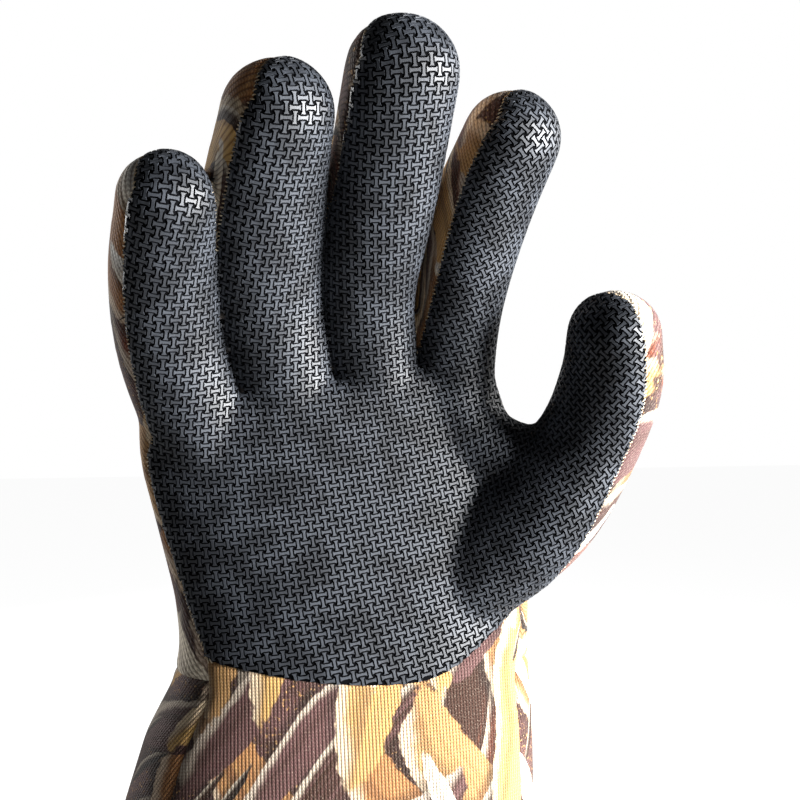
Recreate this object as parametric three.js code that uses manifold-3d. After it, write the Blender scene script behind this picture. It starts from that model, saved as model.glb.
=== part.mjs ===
// A right-hand neoprene gauntlet glove, in the shape that it has on a hand with spread, slightly curled
// fingers. Millimetres. +Z runs from the open mouth of the cuff to the fingertips, the palm faces -Y and the
// thumb is at +X.
// The origin is the centre of the mouth, where the arm goes in.
// The glove is a hollow wall of one thickness, cut along its seams into the panels that are sewn together.

import * as THREE from "three";
import { mergeVertices } from "three/addons/utils/BufferGeometryUtils.js";
import Module from "manifold-3d";

const wasm = await Module();
wasm.setup();

// Driving dimensions
const wall = 3.5; // neoprene with cloth on both faces
const seamGap = 0.5; // between two panels, along the direction of the cut
const wristHeight = 196; // where the back panel is sewn to the cuff
const squareness = 2.3; // exponent of the rounded sections, where 2 is an ellipse
const bindingHeight = 13;
const bindingThickness = 1.2;
const bindingClearance = 0.3;
const cuffStart = bindingThickness + bindingClearance; // the raw edge of the cuff, inside its binding
const edgeShift = { x: -0.15, z: 0.5 }; // of the palm panel's lower edge away from the cuff's

// Fineness of the surfaces
const bodySides = 28;
const outerSides = 14;
const innerSides = 10;
const limbStations = 7;
const domeStations = 3;
const domeAngle = 0.46 * Math.PI; // how far round the tip's dome its last ring lies
const seamStep = 7; // between the points of the surface that holds the side seams
const searchSteps = 48; // along a limb's centreline
const bodyWeight = 0.02; // of the body's own seam surface where a limb's runs into it
const bodyFade = { from: 262, to: 288 }; // heights between which that weight falls away
const farWeight = 1e-5; // of the body's seam surface far from everything
const limbFocus = 3.5; // how sharply a limb's seam surface gives way beside it
const rootFade = { from: 0.02, to: 0.35 }; // shares of a limb's length over which its seam surface takes hold
const through = 150; // half the depth of a block that reaches through the whole glove

// The cuff and the palm, as level sections from the mouth to the knuckles.
// drop lowers the little finger's side of a section, cup hollows the palm, and lead is how far the side seams
// lie in front of the section's centre, as a share of its half depth.
const bodySections = [
  { z: 0, x: 0, y: 0, halfWidth: 66, halfDepth: 50, drop: 0, cup: 0, lead: 0.55 },
  { z: 60, x: 4, y: 0, halfWidth: 65, halfDepth: 47, drop: 0, cup: 0, lead: 0.56 },
  { z: 115, x: 10, y: 0, halfWidth: 63, halfDepth: 42, drop: 0, cup: 0, lead: 0.58 },
  { z: 155, x: 15.5, y: 0, halfWidth: 60.5, halfDepth: 35.5, drop: 0, cup: 0, lead: 0.6 },
  { z: 178, x: 19, y: 0, halfWidth: 57, halfDepth: 30.5, drop: 0, cup: 0, lead: 0.62 },
  { z: 192, x: 22.2, y: 0, halfWidth: 52.8, halfDepth: 27, drop: 0, cup: 0, lead: 0.63 },
  { z: 203, x: 23.2, y: 0, halfWidth: 51.7, halfDepth: 25.5, drop: 0, cup: 1, lead: 0.54 },
  { z: 217, x: 22.7, y: 0, halfWidth: 52.7, halfDepth: 24, drop: 0, cup: 2, lead: 0.38 },
  { z: 237, x: 20, y: 0, halfWidth: 55, halfDepth: 22, drop: 0, cup: 3, lead: 0.28 },
  { z: 257, x: 16, y: -1, halfWidth: 55.5, halfDepth: 18.5, drop: 3, cup: 2, lead: 0.28 },
  { z: 273, x: 13, y: -3.5, halfWidth: 53.5, halfDepth: 14.6, drop: 8, cup: 1, lead: 0.3 },
  { z: 283, x: 12.5, y: -5.5, halfWidth: 49, halfDepth: 11, drop: 13, cup: 0, lead: 0.35 },
];

// The fingers and the thumb, as sections square to each one's own centreline.
// turn rotates a section about its centreline, in degrees: above 0 the palm side looks towards the thumb.
// lead is as above, and wrap is how far back the seam goes round the tip, as a share of the tip's half depth.
const limbs = {
  little: {
    wrap: 0.5,
    rows: [
      { x: -16, y: 1, z: 243, halfWidth: 12, halfDepth: 14, turn: 8, lead: 0.35 },
      { x: -25, y: -4, z: 267, halfWidth: 13.8, halfDepth: 14, turn: 14, lead: 0.35 },
      { x: -32.4, y: -13, z: 287.5, halfWidth: 14, halfDepth: 13, turn: 20, lead: 0.42 },
      { x: -35, y: -24, z: 306.5, halfWidth: 13.6, halfDepth: 12.6, turn: 24, lead: 0.46 },
      { x: -34.9, y: -37, z: 323, halfWidth: 12, halfDepth: 11.4, turn: 26, lead: 0.4 },
    ],
  },
  ring: {
    wrap: 0.3,
    rows: [
      { x: 5, y: 1, z: 253, halfWidth: 12, halfDepth: 15, turn: 6, lead: 0.3 },
      { x: -0.8, y: -4.5, z: 279.5, halfWidth: 14.2, halfDepth: 14.4, turn: 12, lead: 0.32 },
      { x: -6, y: -12, z: 300.5, halfWidth: 15.6, halfDepth: 14.2, turn: 20, lead: 0.42 },
      { x: -8.8, y: -26, z: 324, halfWidth: 16.6, halfDepth: 14.4, turn: 28, lead: 0.48 },
      { x: -7.7, y: -43, z: 345, halfWidth: 14.2, halfDepth: 12.6, turn: 32, lead: 0.5 },
    ],
  },
  middle: {
    wrap: 0.6,
    rows: [
      { x: 28, y: 1, z: 256, halfWidth: 12, halfDepth: 15, turn: -2, lead: 0.35 },
      { x: 24.6, y: -5, z: 287, halfWidth: 13.4, halfDepth: 14.4, turn: -2, lead: 0.35 },
      { x: 22.2, y: -12, z: 304, halfWidth: 13.6, halfDepth: 13.8, turn: -3, lead: 0.32 },
      { x: 23.2, y: -27, z: 329, halfWidth: 14.8, halfDepth: 13.8, turn: -5, lead: 0.15 },
      { x: 24.1, y: -46, z: 357, halfWidth: 14.4, halfDepth: 12.8, turn: -6, lead: 0.05 },
    ],
  },
  index: {
    wrap: 0.35,
    rows: [
      { x: 51.5, y: 1, z: 256, halfWidth: 12, halfDepth: 14, turn: 6, lead: 0.35 },
      { x: 49.6, y: -5, z: 287.5, halfWidth: 12.4, halfDepth: 14, turn: 14, lead: 0.38 },
      { x: 50.2, y: -12, z: 304, halfWidth: 12.4, halfDepth: 13.2, turn: 22, lead: 0.42 },
      { x: 52.9, y: -24, z: 326, halfWidth: 13.4, halfDepth: 13, turn: 28, lead: 0.42 },
      { x: 57.4, y: -37, z: 344, halfWidth: 13, halfDepth: 12, turn: 30, lead: 0.42 },
    ],
  },
  thumb: {
    wrap: 0.2,
    rows: [
      { x: 42, y: -6, z: 210, halfWidth: 13, halfDepth: 12, turn: -12, lead: 0.35 },
      { x: 72.5, y: -14, z: 237, halfWidth: 17, halfDepth: 16.5, turn: -35, lead: 0.35 },
      { x: 87.3, y: -22, z: 260.5, halfWidth: 14.5, halfDepth: 14, turn: -52, lead: 0.35 },
      { x: 90.8, y: -30, z: 278, halfWidth: 14, halfDepth: 13, turn: -60, lead: 0.35 },
      { x: 89, y: -36, z: 291, halfWidth: 12.6, halfDepth: 11.8, turn: -62, lead: 0.35 },
    ],
  },
};
// The web of cloth from the thumb to the index finger.
const web = [
  { x: 46, y: -5, z: 275, halfWidth: 11, halfDepth: 11, turn: 0 },
  { x: 57, y: -7, z: 260.5, halfWidth: 11, halfDepth: 11, turn: 0 },
  { x: 71, y: -11, z: 253.5, halfWidth: 11, halfDepth: 11, turn: 0 },
  { x: 84, y: -18, z: 256, halfWidth: 10, halfDepth: 10, turn: 0 },
];

// The palm panel's sewn lower edge seen from the front, from the little finger's side to beyond the thumb.
const palmEdge = [
  { x: -85, z: 212 },
  { x: -55, z: 208.5 },
  { x: -20.5, z: 201 },
  { x: 7, z: 196 },
  { x: 31.5, z: 194.5 },
  { x: 45, z: 197.5 },
  { x: 61, z: 207.5 },
  { x: 76, z: 218.5 },
  { x: 86.5, z: 230 },
  { x: 95, z: 242.5 },
  { x: 106, z: 258 },
  { x: 125, z: 275 },
];

// Lines between two fingers seen from the front, from the knuckles to beyond the fingertips.
const littleToRing = [
  { x: -18, z: 272 },
  { x: -22, z: 306 },
  { x: -24.2, z: 325 },
  { x: -27, z: 335 },
  { x: -27, z: 380 },
];
const ringToMiddle = [
  { x: 12, z: 281 },
  { x: 9, z: 304 },
  { x: 8, z: 325 },
  { x: 8, z: 380 },
];
const middleToIndex = [
  { x: 37.6, z: 284 },
  { x: 36.8, z: 304 },
  { x: 38.6, z: 326 },
  { x: 42, z: 350 },
  { x: 42, z: 380 },
];

// The outlines, seen from the front, of the finger and thumb pieces that the back panel is cut into, so that
// each hollow has walls of its own.
const limbOutlines = {
  little_finger_back: [{ x: -80, z: 258 }, ...littleToRing, { x: -80, z: 380 }],
  ring_finger_back: [...littleToRing.toReversed(), ...ringToMiddle],
  middle_finger_back: [...ringToMiddle.toReversed(), ...middleToIndex],
  index_finger_back: [...middleToIndex.toReversed(), { x: 74.5, z: 284 }, { x: 74.5, z: 380 }],
  thumb_back: [
    { x: 74.5, z: 380 },
    { x: 74.5, z: 284 },
    { x: 70, z: 252 },
    { x: 84, z: 205 },
    { x: 140, z: 205 },
    { x: 140, z: 380 },
  ],
};

const colours = {
  palm: 0x16181b,
  camouflage: 0x9b7448,
  binding: 0x2a211a,
};

// A closed geometry as a manifold-3d solid, with its faces turned outwards.
function solidOf(geometry) {
  const bare = geometry.clone();
  bare.deleteAttribute("normal");
  bare.deleteAttribute("uv");
  const merged = mergeVertices(bare, 1e-4);
  const corners = Array.from(merged.index.array);
  const make = () =>
    new wasm.Manifold(
      new wasm.Mesh({
        numProp: 3,
        vertProperties: new Float32Array(merged.attributes.position.array),
        triVerts: new Uint32Array(corners),
      }),
    );
  const solid = make();
  if (solid.volume() > 0) return solid;
  for (let i = 0; i < corners.length; i += 3) {
    [corners[i + 1], corners[i + 2]] = [corners[i + 2], corners[i + 1]];
  }
  return make();
}

// A manifold-3d solid as the named mesh of one piece.
function pieceOf(name, solid, colour, roughness) {
  const made = solid.getMesh();
  const geometry = new THREE.BufferGeometry();
  geometry.setAttribute("position", new THREE.BufferAttribute(made.vertProperties, 3));
  geometry.setIndex(new THREE.BufferAttribute(made.triVerts, 1));
  geometry.computeVertexNormals();
  const material = new THREE.MeshStandardMaterial({ color: colour, roughness, metalness: 0 });
  const mesh = new THREE.Mesh(geometry, material);
  mesh.name = name;
  return mesh;
}

// The named column of a table at a share of the way through its rows, on a smooth curve through them.
function columnAt(rows, column, share) {
  const curve = new THREE.SplineCurve(rows.map((row, i) => new THREE.Vector2(i, row[column])));
  return curve.getPoint(share).y;
}

// The named column of the body's table at a height, on straight lines between its rows.
function bodyAt(column, z) {
  const found = bodySections.findIndex((row) => row.z >= z);
  const upper = found < 0 ? bodySections.length - 1 : Math.max(found, 1);
  const [a, b] = [bodySections[upper - 1], bodySections[upper]];
  const mix = THREE.MathUtils.clamp((z - a.z) / (b.z - a.z), 0, 1);
  return THREE.MathUtils.lerp(a[column], b[column], mix);
}

// A point on a rounded section of half size 1, at an angle from its +u side.
function roundedPoint(angle) {
  const c = Math.cos(angle);
  const s = Math.sin(angle);
  const power = 2 / squareness;
  return { u: Math.sign(c) * Math.abs(c) ** power, v: Math.sign(s) * Math.abs(s) ** power };
}

// A closed tube: a lathed can with one ring for each station, whose points are moved to where place() says.
function tube(sides, stationCount, place) {
  const profile = [new THREE.Vector2(0, 0)];
  for (let station = 0; station < stationCount; station++) profile.push(new THREE.Vector2(1, station));
  profile.push(new THREE.Vector2(0, stationCount - 1));
  const geometry = new THREE.LatheGeometry(profile, sides);
  const position = geometry.attributes.position;
  for (let i = 0; i < position.count; i++) {
    const x = position.getX(i);
    const z = position.getZ(i);
    const radius = Math.hypot(x, z);
    const { u, v } = roundedPoint(Math.atan2(z, x));
    const moved = place(Math.round(position.getY(i)), radius * u, radius * v);
    position.setXYZ(i, moved.x, moved.y, moved.z);
  }
  return solidOf(geometry);
}

// A limb's section: its centre, its axis, the direction of its width and the direction away from its palm.
function limbFrame(rows, share) {
  const spine = new THREE.CatmullRomCurve3(rows.map((row) => new THREE.Vector3(row.x, row.y, row.z)));
  const centre = spine.getPoint(share);
  const axis = spine.getTangent(share);
  const back = new THREE.Vector3(0, 1, 0).projectOnPlane(axis).normalize();
  back.applyAxisAngle(axis, THREE.MathUtils.degToRad(columnAt(rows, "turn", share)));
  const width = new THREE.Vector3().crossVectors(back, axis).normalize();
  return { centre, axis, width, back };
}

// A finger, the thumb or the web, smaller all round by inset, with a rounded tip.
function limb(rows, sides, inset) {
  const stations = [];
  for (let i = 0; i < limbStations; i++) stations.push({ share: i / (limbStations - 1), rise: 0, size: 1 });
  for (let i = 1; i <= domeStations; i++) {
    const angle = (i / domeStations) * domeAngle;
    stations.push({ share: 1, rise: Math.sin(angle), size: Math.cos(angle) });
  }
  const frames = stations.map(({ share, rise, size }) => {
    const frame = limbFrame(rows, share);
    const halfWidth = columnAt(rows, "halfWidth", share) - inset;
    const halfDepth = columnAt(rows, "halfDepth", share) - inset;
    frame.centre.addScaledVector(frame.axis, (rise * (halfWidth + halfDepth)) / 2);
    return { ...frame, halfWidth: halfWidth * size, halfDepth: halfDepth * size };
  });
  return tube(sides, frames.length, (station, u, v) => {
    const frame = frames[station];
    return frame.centre
      .clone()
      .addScaledVector(frame.width, u * frame.halfWidth)
      .addScaledVector(frame.back, v * frame.halfDepth);
  });
}

// A length of the cuff and palm's tube at the given heights, smaller all round by inset.
function body(heights, sides, inset) {
  return tube(sides, heights.length, (station, u, v) => {
    const z = heights[station];
    const hollow = v < 0 ? bodyAt("cup", z) * (1 - u * u) * Math.abs(v) : 0;
    return new THREE.Vector3(
      bodyAt("x", z) + u * (bodyAt("halfWidth", z) - inset),
      bodyAt("y", z) + v * (bodyAt("halfDepth", z) - inset) + hollow,
      z - (bodyAt("drop", z) * (1 - u)) / 2,
    );
  });
}

// The whole glove as a solid hand, smaller all round by inset, whose cuff and palm run from low to high.
function hand(inset, sides, low, high) {
  const heights = bodySections.map((row) => row.z).filter((z) => z > low && z < high);
  const tubes = [...Object.values(limbs).map((each) => each.rows), web].map((rows) => {
    return limb(rows, sides, inset);
  });
  return tubes.reduce((sum, each) => sum.add(each), body([low, ...heights, high], bodySides, inset));
}

// The nearest point of a limb's centreline to a point seen from the front.
function nearestOnLimb(rows, x, z) {
  let best = { distance: Infinity };
  for (let i = 0; i <= searchSteps; i++) {
    const frame = limbFrame(rows, i / searchSteps);
    const distance = Math.hypot(frame.centre.x - x, frame.centre.z - z);
    if (distance < best.distance) best = { share: i / searchSteps, distance, frame };
  }
  return best;
}

// How deep the side seams lie at a point seen from the front: the body and each limb have a surface of their
// own, and these run together.
function seamDepth(x, z) {
  let weights = farWeight + bodyWeight * (1 - THREE.MathUtils.smoothstep(z, bodyFade.from, bodyFade.to));
  let total = weights * (bodyAt("y", z) - bodyAt("lead", z) * bodyAt("halfDepth", z));
  for (const { rows, wrap } of Object.values(limbs)) {
    const { share, distance, frame } = nearestOnLimb(rows, x, z);
    const turn = THREE.MathUtils.degToRad(columnAt(rows, "turn", share));
    const halfWidth = columnAt(rows, "halfWidth", share);
    const halfDepth = columnAt(rows, "halfDepth", share);
    const away = { x: x - frame.centre.x, z: z - frame.centre.z };
    const slant = Math.hypot(frame.axis.x, frame.axis.z);
    const across = (away.x * frame.axis.z - away.z * frame.axis.x) / slant;
    const beyond = Math.max(0, (away.x * frame.axis.x + away.z * frame.axis.z) / slant);
    const past = share < 1 ? 0 : Math.min(1, beyond / halfWidth);
    const forward = (columnAt(rows, "lead", share) * halfDepth) / Math.cos(turn);
    const depth = frame.centre.y + Math.tan(turn) * across - forward + wrap * halfDepth * past ** 2;
    const nearness = Math.exp(-limbFocus * (distance / halfWidth) ** 2);
    const weight = THREE.MathUtils.smoothstep(share, rootFade.from, rootFade.to) * nearness;
    weights += weight;
    total += weight * depth;
  }
  return total / weights;
}

// All that lies on the palm's side of the side seams, moved back by shift.
function palmSide(shift) {
  const front = -140;
  const low = { x: -84, z: -20 };
  const cells = { x: 30, z: 58 };
  const width = cells.x * seamStep;
  const height = cells.z * seamStep;
  const geometry = new THREE.BoxGeometry(width, 2, height, cells.x, 1, cells.z);
  geometry.translate(low.x + width / 2, 0, low.z + height / 2);
  const position = geometry.attributes.position;
  for (let i = 0; i < position.count; i++) {
    const isBack = position.getY(i) > 0;
    position.setY(i, isBack ? seamDepth(position.getX(i), position.getZ(i)) + shift : front);
  }
  return solidOf(geometry);
}

// A block that reaches through the whole glove, with a closed line of points as its outline from the front.
function block(line) {
  const shape = new THREE.Shape(line.map((point) => new THREE.Vector2(point.x, point.z)));
  const geometry = new THREE.ExtrudeGeometry(shape, { depth: 2 * through, bevelEnabled: false });
  geometry.rotateX(Math.PI / 2).translate(0, through, 0);
  return solidOf(geometry);
}

// Thin slabs that reach through the whole glove and stand on the sides of a closed line seen from the front.
function slabs(line, thickness) {
  return line.map((from, i) => {
    const to = line[(i + 1) % line.length];
    const length = Math.hypot(to.x - from.x, to.z - from.z) + thickness;
    const geometry = new THREE.BoxGeometry(length, 2 * through, thickness);
    geometry.rotateY(-Math.atan2(to.z - from.z, to.x - from.x));
    geometry.translate((from.x + to.x) / 2, 0, (from.z + to.z) / 2);
    return solidOf(geometry);
  });
}

// A block seen from the front as all that lies below a smooth line from left to right.
function below(line, shift) {
  const floor = -60;
  const curve = new THREE.SplineCurve(line.map((point) => new THREE.Vector2(point.x, point.z)));
  const shape = new THREE.Shape();
  shape.moveTo(line[0].x, floor);
  shape.lineTo(line[line.length - 1].x, floor);
  for (const point of curve.getPoints(line.length * 2).reverse()) shape.lineTo(point.x, point.y);
  shape.closePath();
  const geometry = new THREE.ExtrudeGeometry(shape, { depth: 2 * through, bevelEnabled: false });
  geometry.rotateX(Math.PI / 2).translate(shift.x, through, shift.z);
  return solidOf(geometry);
}

// The binding: a strip folded over the raw edge of the cuff.
function binding() {
  const clear = bindingClearance;
  const whole = bindingThickness + clear;
  const top = bindingHeight;
  const folded = body([0, top], bodySides, -whole).subtract(body([-1, top + 1], bodySides, wall + whole));
  const outside = body([bindingThickness, top + 1], bodySides, -clear);
  const inside = body([0, top + 2], bodySides, wall + clear);
  return folded.subtract(outside.subtract(inside));
}

const knuckles = bodySections[bodySections.length - 1].z;
const outer = hand(0, outerSides, cuffStart, knuckles);
const inner = hand(wall, innerSides, -10, knuckles - wall);
const glove = outer.subtract(inner);

const front = glove.intersect(palmSide(-seamGap / 2));
const back = glove.subtract(palmSide(seamGap / 2));
const wristLine = [
  { x: -100, z: wristHeight },
  { x: 140, z: wristHeight },
];

const handBack = back.subtract(below(wristLine, { x: 0, z: seamGap / 2 }));
const cutBack = Object.values(limbOutlines)
  .flatMap((line) => slabs(line, seamGap))
  .reduce((rest, slab) => rest.subtract(slab), handBack);
const limbBacks = Object.entries(limbOutlines).map(([name, line]) => [name, cutBack.intersect(block(line))]);
const palmBack = Object.values(limbOutlines).reduce((rest, line) => rest.subtract(block(line)), cutBack);

const pieces = [
  ["palm_panel", front.subtract(below(palmEdge, edgeShift)), colours.palm, 0.55],
  ["back_panel", palmBack, colours.camouflage, 0.9],
  ...limbBacks.map(([name, solid]) => [name, solid, colours.camouflage, 0.9]),
  ["cuff_front_panel", front.intersect(below(palmEdge, { x: 0, z: 0 })), colours.camouflage, 0.9],
  ["cuff_back_panel", back.intersect(below(wristLine, { x: 0, z: -seamGap / 2 })), colours.camouflage, 0.9],
  ["cuff_binding", binding(), colours.binding, 0.85],
];

const gauntlet = new THREE.Group();
gauntlet.name = "neoprene_gauntlet";
for (const [name, solid, colour, roughness] of pieces) gauntlet.add(pieceOf(name, solid, colour, roughness));

export default gauntlet;
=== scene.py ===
"""Dress the neoprene gauntlet: its rubber palm, printed cloth back and cuff, seams, stitches and binding.

Lengths are millimetres, as in the part's source, unless they are said to be metres. Every mesh is in
metres in the part's frame: +Z runs from the mouth of the cuff to the fingertips, the palm faces -Y and
the thumb is at +X.
"""

import logging
import math
from collections import Counter
from collections.abc import Iterator
from contextlib import contextmanager
from dataclasses import dataclass, field
from enum import Enum

import bmesh
import bpy
import numpy as np
from mathutils import Matrix, Vector
from mathutils.bvhtree import BVHTree
from mathutils.kdtree import KDTree


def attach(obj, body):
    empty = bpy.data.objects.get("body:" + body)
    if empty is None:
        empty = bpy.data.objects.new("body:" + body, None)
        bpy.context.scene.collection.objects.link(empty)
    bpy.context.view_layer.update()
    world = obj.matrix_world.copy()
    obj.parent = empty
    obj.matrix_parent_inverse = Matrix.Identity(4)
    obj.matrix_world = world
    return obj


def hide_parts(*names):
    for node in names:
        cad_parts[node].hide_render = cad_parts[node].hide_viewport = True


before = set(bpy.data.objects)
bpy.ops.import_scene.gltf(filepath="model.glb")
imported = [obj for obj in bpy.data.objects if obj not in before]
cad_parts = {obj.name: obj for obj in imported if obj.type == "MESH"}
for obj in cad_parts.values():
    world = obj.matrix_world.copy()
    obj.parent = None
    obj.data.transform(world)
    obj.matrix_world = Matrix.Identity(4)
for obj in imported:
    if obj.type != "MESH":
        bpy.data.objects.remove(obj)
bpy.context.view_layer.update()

MM = 0.001
BODY = "root"
FLAT_CUT = "flat_cut"

log = logging.getLogger("gauntlet")


class Face(Enum):
    """The two sides of the glove, on either side of its side seams."""

    PALM = "palm"
    BACK = "back"


class Panel(Enum):
    """The sewn panels, by the name of the part's node that each one stands for."""

    PALM = "palm_panel"
    BACK = "back_panel"
    CUFF_FRONT = "cuff_front_panel"
    CUFF_BACK = "cuff_back_panel"


# Sections and centrelines


@dataclass(frozen=True)
class Section:
    """One section of a finger or of the thumb, square to the centreline, in millimetres and degrees."""

    x: float
    y: float
    z: float
    half_width: float
    half_depth: float
    turn: float = 0.0
    lead: float = 0.35


@dataclass(frozen=True)
class LevelSection:
    """One level section of the cuff and palm, in millimetres."""

    z: float
    x: float
    y: float
    half_width: float
    half_depth: float
    drop: float
    cup: float
    lead: float


BODY_SECTIONS = (
    LevelSection(0, 0, 0, 66, 50, 0, 0, 0.55),
    LevelSection(60, 4, 0, 65, 47, 0, 0, 0.56),
    LevelSection(115, 10, 0, 63, 42, 0, 0, 0.58),
    LevelSection(155, 15.5, 0, 60.5, 35.5, 0, 0, 0.6),
    LevelSection(178, 19, 0, 57, 30.5, 0, 0, 0.62),
    LevelSection(192, 22.2, 0, 52.8, 27, 0, 0, 0.63),
    LevelSection(203, 23.2, 0, 51.7, 25.5, 0, 1, 0.54),
    LevelSection(217, 22.7, 0, 52.7, 24, 0, 2, 0.38),
    LevelSection(237, 20, 0, 55, 22, 0, 3, 0.28),
    LevelSection(257, 16, -1, 55.5, 18.5, 3, 2, 0.28),
    LevelSection(273, 13, -3.5, 53.5, 14.6, 8, 1, 0.3),
    LevelSection(283, 12.5, -5.5, 49, 11, 13, 0, 0.35),
)

LITTLE_SECTIONS = (
    Section(-16, 1, 243, 12, 14, 8, 0.35),
    Section(-25, -4, 267, 13.8, 14, 14, 0.35),
    Section(-32.4, -13, 287.5, 14, 13, 20, 0.42),
    Section(-35, -24, 306.5, 13.6, 12.6, 24, 0.46),
    Section(-34.9, -37, 323, 12, 11.4, 26, 0.4),
)
RING_SECTIONS = (
    Section(5, 1, 253, 12, 15, 6, 0.3),
    Section(-0.8, -4.5, 279.5, 14.2, 14.4, 12, 0.32),
    Section(-6, -12, 300.5, 15.6, 14.2, 20, 0.42),
    Section(-8.8, -26, 324, 16.6, 14.4, 28, 0.48),
    Section(-7.7, -43, 345, 14.2, 12.6, 32, 0.5),
)
MIDDLE_SECTIONS = (
    Section(28, 1, 256, 12, 15, 2, 0.35),
    Section(24.6, -5, 287, 13.4, 14.4, 6, 0.42),
    Section(22.2, -12, 304, 13.6, 13.8, 8, 0.47),
    Section(23.2, -27, 329, 14.8, 13.8, 9, 0.44),
    Section(24.1, -46, 357, 14.4, 12.8, 9, 0.4),
)
INDEX_SECTIONS = (
    Section(51.5, 1, 256, 12, 14, 6, 0.35),
    Section(49.6, -5, 287.5, 12.4, 14, 14, 0.38),
    Section(50.2, -12, 304, 12.4, 13.2, 22, 0.42),
    Section(52.9, -24, 326, 13.4, 13, 28, 0.42),
    Section(57.4, -37, 344, 13, 12, 30, 0.42),
)
THUMB_SECTIONS = (
    Section(42, -6, 210, 13, 12, -12),
    Section(72.5, -14, 237, 17, 16.5, -35),
    Section(87.3, -22, 260.5, 14.5, 14, -52),
    Section(90.8, -30, 278, 14, 13, -60),
    Section(89, -36, 291, 12.6, 11.8, -62),
)
WEB_SECTIONS = (
    Section(46, -5, 275, 11, 11),
    Section(57, -7, 260.5, 11, 11),
    Section(71, -11, 253.5, 11, 11),
    Section(84, -18, 256, 10, 10),
)

# The palm panel's sewn lower edge seen from the front, as x and z.
PALM_EDGE = (
    (-85, 212), (-55, 208.5), (-20.5, 201), (7, 196), (31.5, 194.5), (45, 197.5),
    (61, 207.5), (76, 218.5), (86.5, 230), (95, 242.5), (106, 258), (125, 275),
)
WRIST_HEIGHT = 196.0
CUFF_START = 1.5
WALL = 3.4
SQUARENESS = 2.3
MIDDLE_SHARE = 0.3


def catmull_rom(points: np.ndarray, shares: np.ndarray, centripetal: bool) -> np.ndarray:
    """Follow a smooth curve through points.

    Args:
        points: One row for each point.
        shares: How far along the curve each wanted point lies, from 0 to 1, with equal shares for all spans.
        centripetal: Whether the spans' lengths shape the curve, as on a centreline, or not, as for a column.

    Returns:
        One row for each share.
    """
    ends = np.vstack([2 * points[0] - points[1], points, 2 * points[-1] - points[-2]])
    if not centripetal:
        ends[0], ends[-1] = points[0], points[-1]
    place = np.clip(shares, 0, 1) * (len(points) - 1)
    span = np.minimum(place.astype(int), len(points) - 2)
    t = (place - span)[:, None]
    p0, p1, p2, p3 = (ends[span + i] for i in range(4))
    if centripetal:
        spans = ((p0, p1), (p1, p2), (p2, p3))
        d0, d1, d2 = (np.sqrt(np.linalg.norm(b - a, axis=1))[:, None] for a, b in spans)
        m1 = ((p1 - p0) / d0 - (p2 - p0) / (d0 + d1) + (p2 - p1) / d1) * d1
        m2 = ((p2 - p1) / d1 - (p3 - p1) / (d1 + d2) + (p3 - p2) / d2) * d1
    else:
        m1, m2 = (p2 - p0) / 2, (p3 - p1) / 2
    leaving = (2 * t**3 - 3 * t**2 + 1) * p1 + (t**3 - 2 * t**2 + t) * m1
    arriving = (3 * t**2 - 2 * t**3) * p2 + (t**3 - t**2) * m2
    return leaving + arriving


def smoothstep(value: np.ndarray, low: float, high: float) -> np.ndarray:
    """Rise smoothly from 0 at low to 1 at high."""
    t = np.clip((value - low) / (high - low), 0, 1)
    return t * t * (3 - 2 * t)


@dataclass
class Limb:
    """A finger, the thumb or the web: its sections, and the frames along its centreline."""

    name: str
    sections: tuple[Section, ...]
    wrap: float = 0.0
    frames: int = 120
    table: dict[str, np.ndarray] = field(default_factory=dict)

    def __post_init__(self) -> None:
        """Work out the frames."""
        self.table = self.frames_at(np.linspace(0, 1, self.frames))

    def column(self, name: str, shares: np.ndarray) -> np.ndarray:
        """Read one column of the sections at shares of the way along."""
        values = np.array([[float(i), getattr(row, name)] for i, row in enumerate(self.sections)])
        return catmull_rom(values, shares, centripetal=False)[:, 1]

    def frames_at(self, shares: np.ndarray) -> dict[str, np.ndarray]:
        """Work out the sections' places, directions and sizes.

        Args:
            shares: How far along the centreline each section lies.

        Returns:
            Centres, axes, directions of width and of the back, and the sections' sizes, by name.
        """
        points = np.array([(row.x, row.y, row.z) for row in self.sections], dtype=float)
        step = 1e-3
        centre = catmull_rom(points, shares, centripetal=True)
        ahead = catmull_rom(points, np.minimum(shares + step, 1), centripetal=True)
        behind = catmull_rom(points, np.maximum(shares - step, 0), centripetal=True)
        axis = ahead - behind
        axis /= np.linalg.norm(axis, axis=1)[:, None]
        upright = np.array([0.0, 1.0, 0.0])
        back = upright - axis * (axis @ upright)[:, None]
        back /= np.linalg.norm(back, axis=1)[:, None]
        turn = np.radians(self.column("turn", shares))[:, None]
        back = back * np.cos(turn) + np.cross(axis, back) * np.sin(turn)
        width = np.cross(back, axis)
        sizes = {name: self.column(name, shares) for name in ("half_width", "half_depth", "turn", "lead")}
        return {"share": shares, "centre": centre, "axis": axis, "width": width, "back": back, **sizes}


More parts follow.
